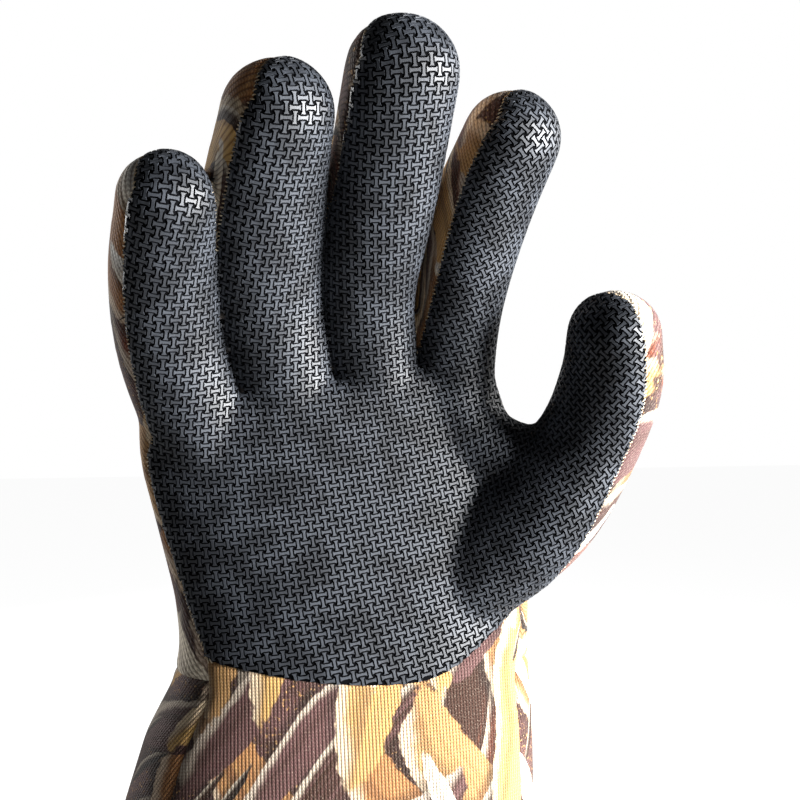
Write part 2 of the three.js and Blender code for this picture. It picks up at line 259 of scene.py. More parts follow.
@dataclass
class HandForm:
    """The glove's outer form: its limbs, the sections of the cuff and palm, and where its seams lie."""

    limbs: tuple[Limb, ...]
    web: Limb
    sections: tuple[LevelSection, ...] = BODY_SECTIONS
    limb_fade: tuple[float, float] = (0.02, 0.35)
    body_weight: float = 0.02
    body_fade: tuple[float, float] = (262.0, 288.0)
    far_weight: float = 1e-5
    focus: float = 3.5
    edge_steps: int = 200

    def level(self, column: str, z: np.ndarray) -> np.ndarray:
        """Read one column of the cuff and palm's sections at heights."""
        heights, values = zip(*((row.z, getattr(row, column)) for row in self.sections))
        return np.interp(z, heights, values)

    def nearest(self, limb: Limb, points: np.ndarray) -> tuple[np.ndarray, np.ndarray]:
        """Find the nearest frame of a limb, seen from the front.

        Args:
            limb: The limb.
            points: One row for each point, in millimetres.

        Returns:
            The number of the nearest frame for each point, and the distance to its centre.
        """
        flattened = np.array((1.0, 0.0, 1.0))
        tree = KDTree(limb.frames)
        for i, centre in enumerate(limb.table["centre"] * flattened):
            tree.insert(centre, i)
        tree.balance()
        numbers, distances = np.array([tree.find(point)[1:] for point in points * flattened]).T
        return numbers.astype(int), distances

    def seam_depth(self, points: np.ndarray) -> np.ndarray:
        """Work out how deep the side seams lie.

        Args:
            points: One row for each point, in millimetres, of which only x and z count.

        Returns:
            The seams' y at each point, in millimetres.
        """
        z = points[:, 2]
        weights = self.far_weight + self.body_weight * (1 - smoothstep(z, *self.body_fade))
        total = weights * (self.level("y", z) - self.level("lead", z) * self.level("half_depth", z))
        for limb in self.limbs:
            found, distance = self.nearest(limb, points)
            row = {name: values[found] for name, values in limb.table.items()}
            turn = np.radians(row["turn"])
            away_x = points[:, 0] - row["centre"][:, 0]
            away_z = z - row["centre"][:, 2]
            axis_x, axis_z = row["axis"][:, 0], row["axis"][:, 2]
            slant = np.hypot(axis_x, axis_z)
            across = (away_x * axis_z - away_z * axis_x) / slant
            beyond = np.maximum(0, (away_x * axis_x + away_z * axis_z) / slant)
            past = np.where(row["share"] < 1, 0, np.minimum(1, beyond / row["half_width"]))
            forward = row["lead"] * row["half_depth"] / np.cos(turn)
            round_tip = limb.wrap * row["half_depth"] * past**2
            depth = row["centre"][:, 1] + np.tan(turn) * across - forward + round_tip
            nearness = np.exp(-self.focus * (distance / row["half_width"]) ** 2)
            weight = smoothstep(row["share"], *self.limb_fade) * nearness
            weights = weights + weight
            total = total + weight * depth
        return total / weights

    def palm_edge_height(self, x: np.ndarray) -> np.ndarray:
        """Work out the height of the palm panel's lower edge.

        Args:
            x: How far across each place is, in millimetres.

        Returns:
            The edge's heights, in millimetres.
        """
        points = np.array(PALM_EDGE, dtype=float)
        curve = catmull_rom(points, np.linspace(0, 1, self.edge_steps), centripetal=False)
        return np.interp(x, curve[:, 0], curve[:, 1])


# Modelling helpers


def deselect_all() -> None:
    """Leave object mode with nothing selected."""
    if bpy.context.object and bpy.context.object.mode != "OBJECT":
        bpy.ops.object.mode_set(mode="OBJECT")
    bpy.ops.object.select_all(action="DESELECT")


def choose(obj: bpy.types.Object) -> None:
    """Make an object the only selected and the active one.

    Args:
        obj: The object.
    """
    deselect_all()
    obj.select_set(True)
    bpy.context.view_layer.objects.active = obj


@contextmanager
def editing(obj: bpy.types.Object) -> Iterator[None]:
    """Edit an object's mesh, with all of it selected, and leave edit mode afterwards.

    Args:
        obj: The object.
    """
    choose(obj)
    bpy.ops.object.mode_set(mode="EDIT")
    bpy.ops.mesh.select_all(action="SELECT")
    yield
    bpy.ops.object.mode_set(mode="OBJECT")


def face_outwards() -> None:
    """Turn every face of the mesh in edit mode outwards."""
    bpy.ops.mesh.select_all(action="SELECT")
    bpy.ops.mesh.normals_make_consistent(inside=False)


def apply_modifier(obj: bpy.types.Object, kind: str, **settings: object) -> None:
    """Add a modifier with the given settings and apply it.

    Args:
        obj: The object to change.
        kind: The modifier's type.
        **settings: The modifier's settings, by name.
    """
    choose(obj)
    modifier = obj.modifiers.new(kind.title(), kind)
    for name, value in settings.items():
        setattr(modifier, name, value)
    bpy.ops.object.modifier_apply(modifier=modifier.name)


def read_column(
    items: bpy.types.bpy_prop_collection, name: str, width: int = 1, kind: type = float,
) -> np.ndarray:
    """Read one property of all of a mesh's points, corners or triangles.

    Args:
        items: The points, corners or triangles.
        name: The property.
        width: How many numbers it holds.
        kind: The type of its numbers.

    Returns:
        One number for each item, or one row where the property holds more.
    """
    values = np.empty(len(items) * width, dtype=kind)
    items.foreach_get(name, values)
    return values if width == 1 else values.reshape(-1, width)


def mesh_points(obj: bpy.types.Object) -> np.ndarray:
    """Read an object's points, in millimetres."""
    return read_column(obj.data.vertices, "co", 3) / MM


def keep_flat_places(obj: bpy.types.Object, places: np.ndarray) -> None:
    """Keep an object's flat cut on it, as a UV map.

    Args:
        obj: The object.
        places: Where each of its points lies on the flat cloth, in millimetres.
    """
    corners = read_column(obj.data.loops, "vertex_index", kind=int)
    layer = obj.data.uv_layers.new(name=FLAT_CUT)
    layer.uv.foreach_set("vector", places[corners].ravel())


def set_mesh_points(obj: bpy.types.Object, points: np.ndarray) -> None:
    """Write an object's points, given in millimetres."""
    obj.data.vertices.foreach_set("co", (points * MM).ravel())
    obj.data.update()


def shade_smooth(obj: bpy.types.Object, angle: float = 60.0) -> None:
    """Shade an object smooth except at edges sharper than an angle in degrees."""
    choose(obj)
    bpy.ops.object.shade_smooth_by_angle(angle=math.radians(angle))


def sleeve(name: str, sides: int, stations: int, closed: bool = True) -> bpy.types.Object:
    """Model a straight sleeve of unit radius: a circle extruded by one step for each further station.

    Args:
        name: The object's name.
        sides: Points round the sleeve.
        stations: Rings along the sleeve.
        closed: Whether its ends are filled.

    Returns:
        The sleeve.
    """
    deselect_all()
    bpy.ops.mesh.primitive_circle_add(vertices=sides, radius=1.0, fill_type="NGON" if closed else "NOTHING")
    obj = bpy.context.object
    obj.name = name
    with editing(obj):
        for _ in range(stations - 1):
            bpy.ops.mesh.extrude_region_move(TRANSFORM_OT_translate={"value": (0, 0, 1)})
        if closed:
            face_outwards()
    return obj


def squared(angle: np.ndarray) -> tuple[np.ndarray, np.ndarray]:
    """Work out the places on a rounded section of half size 1 that lie at angles round it."""
    power = 2 / SQUARENESS
    return tuple(np.sign(part) * np.abs(part) ** power for part in (np.cos(angle), np.sin(angle)))


def rounded(points: np.ndarray) -> tuple[np.ndarray, np.ndarray, np.ndarray]:
    """Turn a straight sleeve's points into stations and places on a rounded section of half size 1."""
    station = np.rint(points[:, 2]).astype(int)
    return station, *squared(np.arctan2(points[:, 1], points[:, 0]))


@dataclass
class HandModeller:
    """Models the glove's outer skin as one smooth mesh that is open at the mouth of the cuff."""

    form: HandForm
    limb_sides: int = 32
    limb_stations: int = 26
    dome_stations: int = 8
    dome_turn: float = 0.49
    body_sides: int = 72
    body_stations: int = 60
    voxel: float = 1.15
    smoothing: int = 26
    smooth_factor: float = 0.5
    inset: float = 0.6
    swell: float = 0.3
    below_mouth: float = 4.0

    def model(self) -> bpy.types.Object:
        """Model the skin.

        Returns:
            The skin, with the mouth cut open.
        """
        parts = [self._limb(limb) for limb in (*self.form.limbs, self.form.web)]
        parts.append(self._body())
        choose(parts[-1])
        for part in parts:
            part.select_set(True)
        bpy.ops.object.join()
        skin = bpy.context.object
        skin.name = "outer_skin"
        apply_modifier(skin, "REMESH", mode="VOXEL", voxel_size=self.voxel * MM)
        apply_modifier(skin, "SMOOTH", factor=self.smooth_factor, iterations=self.smoothing)
        apply_modifier(skin, "DISPLACE", strength=(self.inset + self.swell) * MM, mid_level=0.0)
        with editing(skin):
            bpy.ops.mesh.bisect(plane_co=(0, 0, CUFF_START * MM), plane_no=(0, 0, 1), clear_inner=True)
        return skin

    def _limb(self, limb: Limb) -> bpy.types.Object:
        """Model one limb: a straight sleeve bent onto the limb's centreline, with a domed tip.

        Args:
            limb: The limb.

        Returns:
            The limb's mesh.
        """
        shares = np.concatenate([np.linspace(0, 1, self.limb_stations), np.ones(self.dome_stations)])
        angles = np.linspace(0, self.dome_turn * math.pi, self.dome_stations + 1)[1:]
        rise = np.concatenate([np.zeros(self.limb_stations), np.sin(angles)])
        size = np.concatenate([np.ones(self.limb_stations), np.cos(angles)])
        frames = limb.frames_at(shares)
        for name in ("half_width", "half_depth"):
            frames[name] = frames[name] - self.inset
        obj = sleeve(limb.name, self.limb_sides, len(shares))
        station, u, v = rounded(mesh_points(obj) * MM)
        reach = (rise * (frames["half_width"] + frames["half_depth"]) / 2)[station]
        centre = frames["centre"][station] + frames["axis"][station] * reach[:, None]
        across = (u * frames["half_width"][station] * size[station])[:, None]
        deep = (v * frames["half_depth"][station] * size[station])[:, None]
        set_mesh_points(obj, centre + frames["width"][station] * across + frames["back"][station] * deep)
        return obj

    def _body(self) -> bpy.types.Object:
        """Model the cuff and palm: a straight sleeve pulled to the table's sections.

        Returns:
            The cuff and palm's mesh.
        """
        top = self.form.sections[-1].z
        heights = np.concatenate([[-self.below_mouth], np.linspace(0, top, self.body_stations)])
        obj = sleeve("cuff_and_palm", self.body_sides, len(heights))
        station, u, v = rounded(mesh_points(obj) * MM)
        z = heights[station]
        columns = ("x", "y", "half_width", "half_depth", "drop", "cup")
        level = {name: self.form.level(name, z) for name in columns}
        hollow = np.where(v < 0, level["cup"] * (1 - u**2) * np.abs(v), 0)
        x = level["x"] + u * (level["half_width"] - self.inset)
        y = level["y"] + v * (level["half_depth"] - self.inset) + hollow
        set_mesh_points(obj, np.stack([x, y, z - level["drop"] * (1 - u) / 2], axis=1))
        return obj


@dataclass
class SeamCutter:
    """Cuts the skin along its seams and sinks a shallow valley along each of them, in millimetres."""

    form: HandForm
    valley_width: float = 2.4
    valley_depth: float = 0.55
    end_share: float = 0.03
    scrap_faces: int = 800

    def cut(self, skin: bpy.types.Object) -> dict[Panel, bpy.types.Object]:
        """Cut the skin into its panels.

        Args:
            skin: The whole outer skin, which is used up.

        Returns:
            One open sheet for each panel.
        """
        mesh = bmesh.new()
        mesh.from_mesh(skin.data)
        self._split(mesh, {Face.PALM: self._sides(mesh), Face.BACK: self._sides(mesh)}, None)
        sides = self._sides(mesh)
        self._split(mesh, self._heights(mesh), sides)
        labels = self._label(mesh)
        self._sink(mesh, labels)
        panels = {panel: self._sheet(mesh, labels, panel) for panel in Panel}
        mesh.free()
        bpy.data.objects.remove(skin)
        return panels

    def _points(self, mesh: bmesh.types.BMesh) -> np.ndarray:
        """Read the mesh's points, in millimetres."""
        return np.array([vert.co for vert in mesh.verts]) / MM

    def _sides(self, mesh: bmesh.types.BMesh) -> np.ndarray:
        """Work out how far behind the side seams each point lies."""
        points = self._points(mesh)
        return points[:, 1] - self.form.seam_depth(points)

    def _heights(self, mesh: bmesh.types.BMesh) -> dict[Face, np.ndarray]:
        """Work out how far above the hand's lower edge each point lies.

        Args:
            mesh: The mesh.

        Returns:
            The heights over the palm's edge and over the back's, in millimetres.
        """
        points = self._points(mesh)
        palm = points[:, 2] - self.form.palm_edge_height(points[:, 0])
        return {Face.PALM: palm, Face.BACK: points[:, 2] - WRIST_HEIGHT}

    def _split(
        self, mesh: bmesh.types.BMesh, values: dict[Face, np.ndarray], sides: np.ndarray | None,
    ) -> None:
        """Give the mesh an edge wherever the values pass through zero.

        Args:
            mesh: The mesh to cut.
            values: One value for each point, for each side of the glove.
            sides: How far behind the side seams each point lies, or None where both sides share their values.
        """
        mesh.verts.index_update()
        crossings = []
        for edge in mesh.edges:
            a, b = edge.verts
            middle = 0.0 if sides is None else sides[a.index] + sides[b.index]
            chosen = values[Face.BACK if middle > 0 else Face.PALM]
            start, end = chosen[a.index], chosen[b.index]
            if start * end < 0:
                crossings.append((edge, a, start / (start - end)))
        cuts = []
        for edge, vert, share in crossings:
            bounded = min(max(share, self.end_share), 1 - self.end_share)
            cuts.append(bmesh.utils.edge_split(edge, vert, bounded)[1])
        bmesh.ops.connect_verts(mesh, verts=cuts)
        mesh.verts.index_update()

    def _label(self, mesh: bmesh.types.BMesh) -> dict[int, Panel]:
        """Say which panel each face belongs to.

        Args:
            mesh: The mesh, cut along its seams.

        Returns:
            The panel of each face, by the face's number.
        """
        sides = self._sides(mesh)
        heights = self._heights(mesh)
        labels = {}
        mesh.faces.index_update()
        for face in mesh.faces:
            corners = [vert.index for vert in face.verts]
            is_back = sides[corners].mean() > 0
            is_hand = heights[Face.BACK if is_back else Face.PALM][corners].mean() > 0
            names = (Panel.CUFF_BACK, Panel.BACK) if is_back else (Panel.CUFF_FRONT, Panel.PALM)
            labels[face.index] = names[is_hand]
        self._give_away_scraps(mesh, labels)
        return labels

    def _give_away_scraps(self, mesh: bmesh.types.BMesh, labels: dict[int, Panel]) -> None:
        """Give each small scrap of a panel to the panel that borders it most.

        Args:
            mesh: The mesh.
            labels: The panel of each face, which is changed.
        """
        seen = set()
        for face in mesh.faces:
            if face.index in seen:
                continue
            seen.add(face.index)
            patch, borders = [face], Counter()
            for member in patch:
                for other in (near for edge in member.edges for near in edge.link_faces):
                    if labels[other.index] is not labels[face.index]:
                        borders[labels[other.index]] += 1
                    elif other.index not in seen:
                        seen.add(other.index)
                        patch.append(other)
            if len(patch) < self.scrap_faces:
                labels.update((member.index, borders.most_common(1)[0][0]) for member in patch)

    def _sink(self, mesh: bmesh.types.BMesh, labels: dict[int, Panel]) -> None:
        """Sink a valley along every edge between two panels.

        Args:
            mesh: The mesh, which is changed.
            labels: The panel of each face.
        """
        seam = set()
        for edge in mesh.edges:
            if len({labels[face.index] for face in edge.link_faces}) > 1:
                seam.update(edge.verts)
        tree = KDTree(len(seam))
        for i, vert in enumerate(seam):
            tree.insert(vert.co, i)
        tree.balance()
        mesh.normal_update()
        for vert in mesh.verts:
            distance = tree.find(vert.co)[2] / MM
            if distance < self.valley_width:
                depth = self.valley_depth * (1 - distance / self.valley_width) ** 2
                vert.co -= vert.normal * depth * MM

    def _sheet(
        self, mesh: bmesh.types.BMesh, labels: dict[int, Panel], panel: Panel,
    ) -> bpy.types.Object:
        """Copy the faces of one panel to an object of their own.

        Args:
            mesh: The whole mesh.
            labels: The panel of each face.
            panel: The panel that is wanted.

        Returns:
            The panel's open sheet.
        """
        part = mesh.copy()
        part.faces.ensure_lookup_table()
        others = [face for face in part.faces if labels[face.index] is not panel]
        bmesh.ops.delete(part, geom=others, context="FACES")
        data = bpy.data.meshes.new(panel.value)
        part.to_mesh(data)
        part.free()
        obj = bpy.data.objects.new(f"{panel.value}_skin", data)
        bpy.context.scene.collection.objects.link(obj)
        return obj


# Node trees


Value = float | tuple[float, ...] | bpy.types.NodeSocket
Colour = tuple[float, float, float, float]


@dataclass
class NodeDesk:
    """Adds nodes to a tree, each taking plain values or the outputs of others."""

    tree: bpy.types.NodeTree

    def feed(self, socket: bpy.types.NodeSocket, value: Value) -> None:
        """Link an output to a socket, or set the socket to a plain value.

        Args:
            socket: The socket.
            value: The output or the plain value.
        """
        if isinstance(value, bpy.types.NodeSocket):
            self.tree.links.new(value, socket)
        else:
            socket.default_value = value

    def fill(self, node: bpy.types.Node, **values: Value) -> bpy.types.Node:
        """Feed a node's sockets.

        Args:
            node: The node.
            **values: What goes into its sockets, by name, with spaces as underscores.

        Returns:
            The same node.
        """
        for name, value in values.items():
            self.feed(node.inputs[name.replace("_", " ")], value)
        return node

    def add(self, kind: str, settings: dict[str, object] | None = None, **values: Value) -> bpy.types.Node:
        """Add a node.

        Args:
            kind: The node's type, without its common start.
            settings: The node's own settings, by name.
            **values: What goes into its sockets, by name, with spaces as underscores.

        Returns:
            The node.
        """
        node = self.tree.nodes.new(f"ShaderNode{kind}")
        for name, value in (settings or {}).items():
            setattr(node, name, value)
        return self.fill(node, **values)

    def place(self, group: bpy.types.NodeTree, **values: Value) -> bpy.types.Node:
        """Place a node group."""
        return self.add("Group", {"node_tree": group}, **values)

    def work_out(self, kind: str, operation: str, values: tuple[Value, ...]) -> bpy.types.NodeSocket:
        """Work out one value from others, given in the order of the node's sockets.

        Args:
            kind: The node's type.
            operation: What it does with the values.
            values: What goes in.

        Returns:
            What comes out.
        """
        node = self.add(kind, {"operation": operation})
        for i, value in enumerate(values):
            self.feed(node.inputs[i], value)
        return node.outputs[0]

    def math(self, operation: str, *values: Value) -> bpy.types.NodeSocket:
        """Work out one number from others."""
        return self.work_out("Math", operation, values)

    def vector(self, operation: str, *values: Value) -> bpy.types.NodeSocket:
        """Work out one vector from others."""
        return self.work_out("VectorMath", operation, values)

    def scaled(self, vector: Value, factor: Value) -> bpy.types.NodeSocket:
        """Multiply a vector by a number."""
        socket = self.vector("SCALE", vector)
        return self.fill(socket.node, Scale=factor).outputs[0]

    def ramp(self, value: Value, low: float, high: float) -> bpy.types.NodeSocket:
        """Rise smoothly from 0 at low to 1 at high."""
        settings = {"interpolation_type": "SMOOTHSTEP"}
        return self.add("MapRange", settings, Value=value, From_Min=low, From_Max=high).outputs["Result"]

    def blend(self, share: Value, first: Value, second: Value, how: str = "MIX") -> bpy.types.NodeSocket:
        """Mix two colours.

        Args:
            share: How much of the second goes in.
            first: The first colour.
            second: The second.
            how: The way of mixing.

        Returns:
            The mixed colour.
        """
        node = self.add("Mix", {"data_type": "RGBA", "blend_type": how})
        for number, value in ((0, share), (6, first), (7, second)):
            self.feed(node.inputs[number], value)
        return node.outputs[2]

    def noise(self, vector: Value, scale: Value, detail: float = 2.0) -> bpy.types.NodeSocket:
        """Vary softly over the surface, between 0 and 1."""
        return self.add("TexNoise", Vector=vector, Scale=scale, Detail=detail).outputs["Fac"]

    def flat_place(self) -> bpy.types.NodeSocket:
        """Read the place on the flat cut, in millimetres."""
        return self.add("UVMap", {"uv_map": FLAT_CUT}).outputs["UV"]

    def relief(self, height: Value, distance: float, strength: float = 1.0) -> bpy.types.NodeSocket:
        """Turn a height into the normal of a raised surface."""
        return self.add("Bump", Height=height, Distance=distance, Strength=strength).outputs["Normal"]


@dataclass
class NodeGroup:
    """A shader node group with named inputs and outputs, built once and used in several materials."""

    name: str
    inputs: dict[str, float]
    outputs: tuple[str, ...]
    kind: str = "Float"

    def open(self) -> tuple[NodeDesk, bpy.types.Node, bpy.types.Node]:
        """Make the empty group, which takes a place called Vector besides its own inputs.

        Returns:
            A desk for its tree, and its input and output nodes.
        """
        tree = bpy.data.node_groups.new(self.name, "ShaderNodeTree")
        tree.interface.new_socket("Vector", in_out="INPUT", socket_type="NodeSocketVector")
        for name, value in self.inputs.items():
            socket = tree.interface.new_socket(name, in_out="INPUT", socket_type="NodeSocketFloat")
            socket.default_value = value
        for name in self.outputs:
            tree.interface.new_socket(name, in_out="OUTPUT", socket_type=f"NodeSocket{self.kind}")
        return NodeDesk(tree), tree.nodes.new("NodeGroupInput"), tree.nodes.new("NodeGroupOutput")


@dataclass(frozen=True)
class Knit:
    """The knitted face: upright ribs with a row of slanted stitches down each of them, in millimetres."""

    rib: float = 0.98
    course: float = 0.9
    slant: float = 1.2
    rib_height: float = 0.35
    knot_height: float = 1.3
    shaded: tuple[float, float] = (0.1, 0.65)

    def group(self) -> bpy.types.NodeTree:
        """Build the node group.

        Returns:
            The group. It takes places on the cloth in millimetres and gives a height and a shade.
        """
        inputs = {"Rib": self.rib, "Course": self.course}
        desk, given, made = NodeGroup("knit_ribs", inputs, ("Height", "Shade")).open()
        parts = desk.add("SeparateXYZ", Vector=given.outputs["Vector"])
        across = desk.math("DIVIDE", parts.outputs["X"], given.outputs["Rib"])
        along = desk.math("DIVIDE", parts.outputs["Y"], given.outputs["Course"])
        from_middle = desk.math("ABSOLUTE", desk.math("SUBTRACT", desk.math("FRACT", across), 0.5))
        rib = desk.math("SUBTRACT", 1.0, desk.math("POWER", desk.math("MULTIPLY", from_middle, 2.0), 2.0))
        slanted = desk.math("MULTIPLY_ADD", from_middle, self.slant, along)
        stitch = desk.math("ABSOLUTE", desk.math("SUBTRACT", desk.math("FRACT", slanted), 0.5))
        knot = desk.math("MULTIPLY", desk.math("MULTIPLY", stitch, rib), self.knot_height)
        height = desk.math("ADD", desk.math("MULTIPLY", rib, self.rib_height), knot)
        desk.fill(made, Height=height, Shade=desk.ramp(height, *self.shaded))
        return desk.tree


@dataclass(frozen=True)
class BrushStrokes:
    """One layer of printed brush strokes: long spots that lean one way, each with a tone of its own.

    The bend is in millimetres. Offsets and edges are shares of a stroke's width and length.
    """

    seed_step: tuple[float, float, float] = (17.3, 29.1, 0.0)
    bend_scale: float = 0.016
    bend: tuple[float, float, float] = (26.0, 10.0, 0.0)
    scatter: float = 0.7
    rough_scale: float = 0.3
    rough_edge: float = 0.09
    shadow_offset: tuple[float, float, float] = (0.16, -0.02, 0.0)
    printed: tuple[float, float] = (-0.03, -0.01)
    shadowed: tuple[float, float] = (-0.03, 0.1)
    vein_scale: float = 0.2
    vein_bend: float = 0.1
    vein: tuple[float, float] = (0.03, 0.09)
    streaks: tuple[float, float, float] = (14.0, 2.2, 1.0)
    sunlit: tuple[float, float] = (-0.02, 0.12)
    brim: tuple[float, float] = (0.02, 0.09)

    def group(self) -> bpy.types.NodeTree:
        """Build the node group.

        Returns:
            The group. It takes places in millimetres and gives the strokes' mask, shadow, tone, rim, vein and
            fibres.
        """
        inputs = {"Lean": 0.0, "Width": 8.0, "Length": 40.0, "Cover": 0.4, "Seed": 0.0}
        outputs = ("Mask", "Shadow", "Tone", "Rim", "Vein", "Fibre")
        desk, given, made = NodeGroup("brush_strokes", inputs, outputs).open()
        turned = desk.add("VectorRotate", {"rotation_type": "Z_AXIS"}, Vector=given.outputs["Vector"])
        desk.fill(turned, Angle=given.outputs["Lean"])
        moved = desk.vector("ADD", turned.outputs[0], desk.scaled(self.seed_step, given.outputs["Seed"]))
        sway = desk.add("TexNoise", Vector=moved, Scale=self.bend_scale, Detail=1.0).outputs["Color"]
        bent = desk.vector("MULTIPLY_ADD", sway, self.bend, moved)
        size = desk.add("CombineXYZ", X=given.outputs["Width"], Y=given.outputs["Length"], Z=1.0).outputs[0]
        cells = desk.vector("DIVIDE", bent, size)
        spot, depth, mask = self._spots(desk, given, bent, cells, self.printed)
        shifted = desk.vector("ADD", cells, self.shadow_offset)
        shadow = self._spots(desk, given, bent, shifted, self.shadowed)[2]
        local = desk.add("SeparateXYZ", Vector=desk.vector("SUBTRACT", cells, spot.outputs["Position"]))
        sideways = desk.noise(bent, self.vein_scale)
        wavy = desk.math("MULTIPLY_ADD", sideways, self.vein_bend, local.outputs["X"])
        lit = desk.ramp(desk.math("SUBTRACT", 0.0, local.outputs["X"]), *self.sunlit)
        edge = desk.math("SUBTRACT", 1.0, desk.ramp(depth, *self.brim))
        desk.fill(
            made, Mask=mask, Shadow=shadow, Rim=desk.math("MULTIPLY", lit, edge),
            Tone=desk.add("SeparateColor", Color=spot.outputs["Color"]).outputs["Red"],
            Vein=desk.math("SUBTRACT", 1.0, desk.ramp(desk.math("ABSOLUTE", wavy), *self.vein)),
            Fibre=desk.noise(desk.vector("MULTIPLY", cells, self.streaks), scale=1.0, detail=3.0),
        )
        return desk.tree

    def _spots(
        self, desk: NodeDesk, given: bpy.types.Node, bent: Value, cells: Value, edge: tuple[float, float],
    ) -> tuple[bpy.types.Node, bpy.types.NodeSocket, bpy.types.NodeSocket]:
        """Scatter one spot for each cell, with a rough edge.

        Args:
            desk: The desk.
            given: The group's inputs.
            bent: The place in millimetres, for the roughness.
            cells: The place in strokes' widths and lengths.
            edge: Between which depths the spot fades in.

        Returns:
            The node of the spots, the depth inside their edge and their mask.
        """
        settings = {"voronoi_dimensions": "2D"}
        spot = desk.add("TexVoronoi", settings, Vector=cells, Scale=1.0, Randomness=self.scatter)
        ragged = desk.noise(bent, self.rough_scale, detail=3.0)
        rough = desk.math("MULTIPLY_ADD", ragged, self.rough_edge, spot.outputs["Distance"])
        depth = desk.math("SUBTRACT", given.outputs["Cover"], rough)
        return spot, depth, desk.ramp(depth, *edge)


@dataclass(frozen=True)
class Strokes:
    """One printed layer: two colours, the strokes' lean in degrees, size in millimetres, cover and seed."""

    first: Colour
    second: Colour
    lean: float
    width: float
    length: float
    cover: float
    seed: float


BLACK_BROWN = (0.012, 0.006, 0.004, 1)
DARK_BROWN = (0.05, 0.02, 0.011, 1)
PLUM = (0.13, 0.062, 0.058, 1)
RUST = (0.2, 0.05, 0.02, 1)
ORANGE = (0.42, 0.19, 0.07, 1)
TAN = (0.55, 0.31, 0.12, 1)
GOLD = (0.66, 0.4, 0.13, 1)
CREAM = (0.86, 0.76, 0.6, 1)
WHITE = (0.95, 0.92, 0.86, 1)

PRINT_LAYERS = (
    Strokes(RUST, DARK_BROWN, 26, 26, 80, 0.36, 1.0),
    Strokes(TAN, ORANGE, -24, 27, 130, 0.4, 2.0),
    Strokes(DARK_BROWN, PLUM, 44, 22, 90, 0.33, 3.0),
    Strokes(GOLD, TAN, 14, 24, 125, 0.33, 4.0),
    Strokes(BLACK_BROWN, DARK_BROWN, 34, 12, 90, 0.15, 7.0),
    Strokes(CREAM, WHITE, -20, 19, 110, 0.22, 6.0),
)


@dataclass(frozen=True)
class CamouflagePrint:
    """The camouflage print: layers of brush strokes over a mottled ground."""

    layers: tuple[Strokes, ...] = PRINT_LAYERS
    mottle_scale: float = 0.09
    mottle: tuple[float, float] = (0.42, 0.62)
    speck_scale: float = 0.9
    speck: tuple[float, float] = (0.6, 0.68)
    fibre: float = 1.8
    tone: tuple[float, float] = (0.1, 0.9)
    vein: float = 0.35
    rim: float = 0.55
    shadow: float = 0.55

    def group(self, strokes: bpy.types.NodeTree) -> bpy.types.NodeTree:
        """Build the node group.

        Args:
            strokes: The group that makes one layer of strokes.

        Returns:
            The group. It takes places on the cloth in millimetres and a seed, and gives the colour.
        """
        desk, given, made = NodeGroup("camouflage_print", {"Seed": 0.0}, ("Color",), "Color").open()
        vector = given.outputs["Vector"]
        mottled = desk.ramp(desk.noise(vector, self.mottle_scale, detail=5.0), *self.mottle)
        colour = desk.blend(mottled, PLUM, DARK_BROWN)
        speck = desk.ramp(desk.noise(vector, self.speck_scale), *self.speck)
        colour = desk.blend(speck, colour, TAN)
        for layer in self.layers:
            node = desk.place(
                strokes, Vector=vector, Lean=math.radians(layer.lean), Width=layer.width, Length=layer.length,
                Cover=layer.cover, Seed=desk.math("ADD", given.outputs["Seed"], layer.seed),
            )
            stroke = node.outputs
            fibre = desk.math("MULTIPLY_ADD", stroke["Fibre"], self.fibre, -self.fibre / 2)
            share = desk.ramp(desk.math("ADD", stroke["Tone"], fibre), *self.tone)
            paint = desk.blend(share, layer.first, layer.second)
            paint = desk.blend(desk.math("MULTIPLY", stroke["Vein"], self.vein), paint, DARK_BROWN)
            paint = desk.blend(desk.math("MULTIPLY", stroke["Rim"], self.rim), paint, CREAM)
            shade = desk.math("MULTIPLY", stroke["Shadow"], self.shadow)
            colour = desk.blend(stroke["Mask"], desk.blend(shade, colour, BLACK_BROWN), paint)
        desk.fill(made, Color=colour)
        return desk.tree


@dataclass(frozen=True)
class FineGrain:
    """A fine grain for rubber and thread, in millimetres, with a slow mottle."""

    size: float = 0.25
    detail: float = 3.0
    mottle_scale: float = 0.12
    mottle: tuple[float, float] = (0.35, 0.65)

    def group(self) -> bpy.types.NodeTree:
        """Build the node group.

        Returns:
            The group. It takes places in millimetres and gives a height and the mottle, from 0 to 1.
        """
        desk, given, made = NodeGroup("fine_grain", {"Size": self.size}, ("Height", "Mottle")).open()
        vector = given.outputs["Vector"]
        fine = desk.noise(vector, desk.math("DIVIDE", 1.0, given.outputs["Size"]), self.detail)
        slow = desk.noise(vector, self.mottle_scale, self.detail)
        desk.fill(made, Height=fine, Mottle=desk.ramp(slow, *self.mottle))
        return desk.tree


@dataclass
class Workshop:
    """The node groups that the finishes share."""

    knit: bpy.types.NodeTree
    camouflage: bpy.types.NodeTree
    grain: bpy.types.NodeTree

    @classmethod
    def open(cls) -> "Workshop":
        """Build every group."""
        return cls(Knit().group(), CamouflagePrint().group(BrushStrokes().group()), FineGrain().group())


def new_material(name: str) -> tuple[bpy.types.Material, NodeDesk, bpy.types.Node]:
    """Make an empty material.

    Args:
        name: The material's name.

    Returns:
        The material, a desk for its nodes and its Principled shader.
    """
    material = bpy.data.materials.new(name)
    material.use_nodes = True
    return material, NodeDesk(material.node_tree), material.node_tree.nodes["Principled BSDF"]


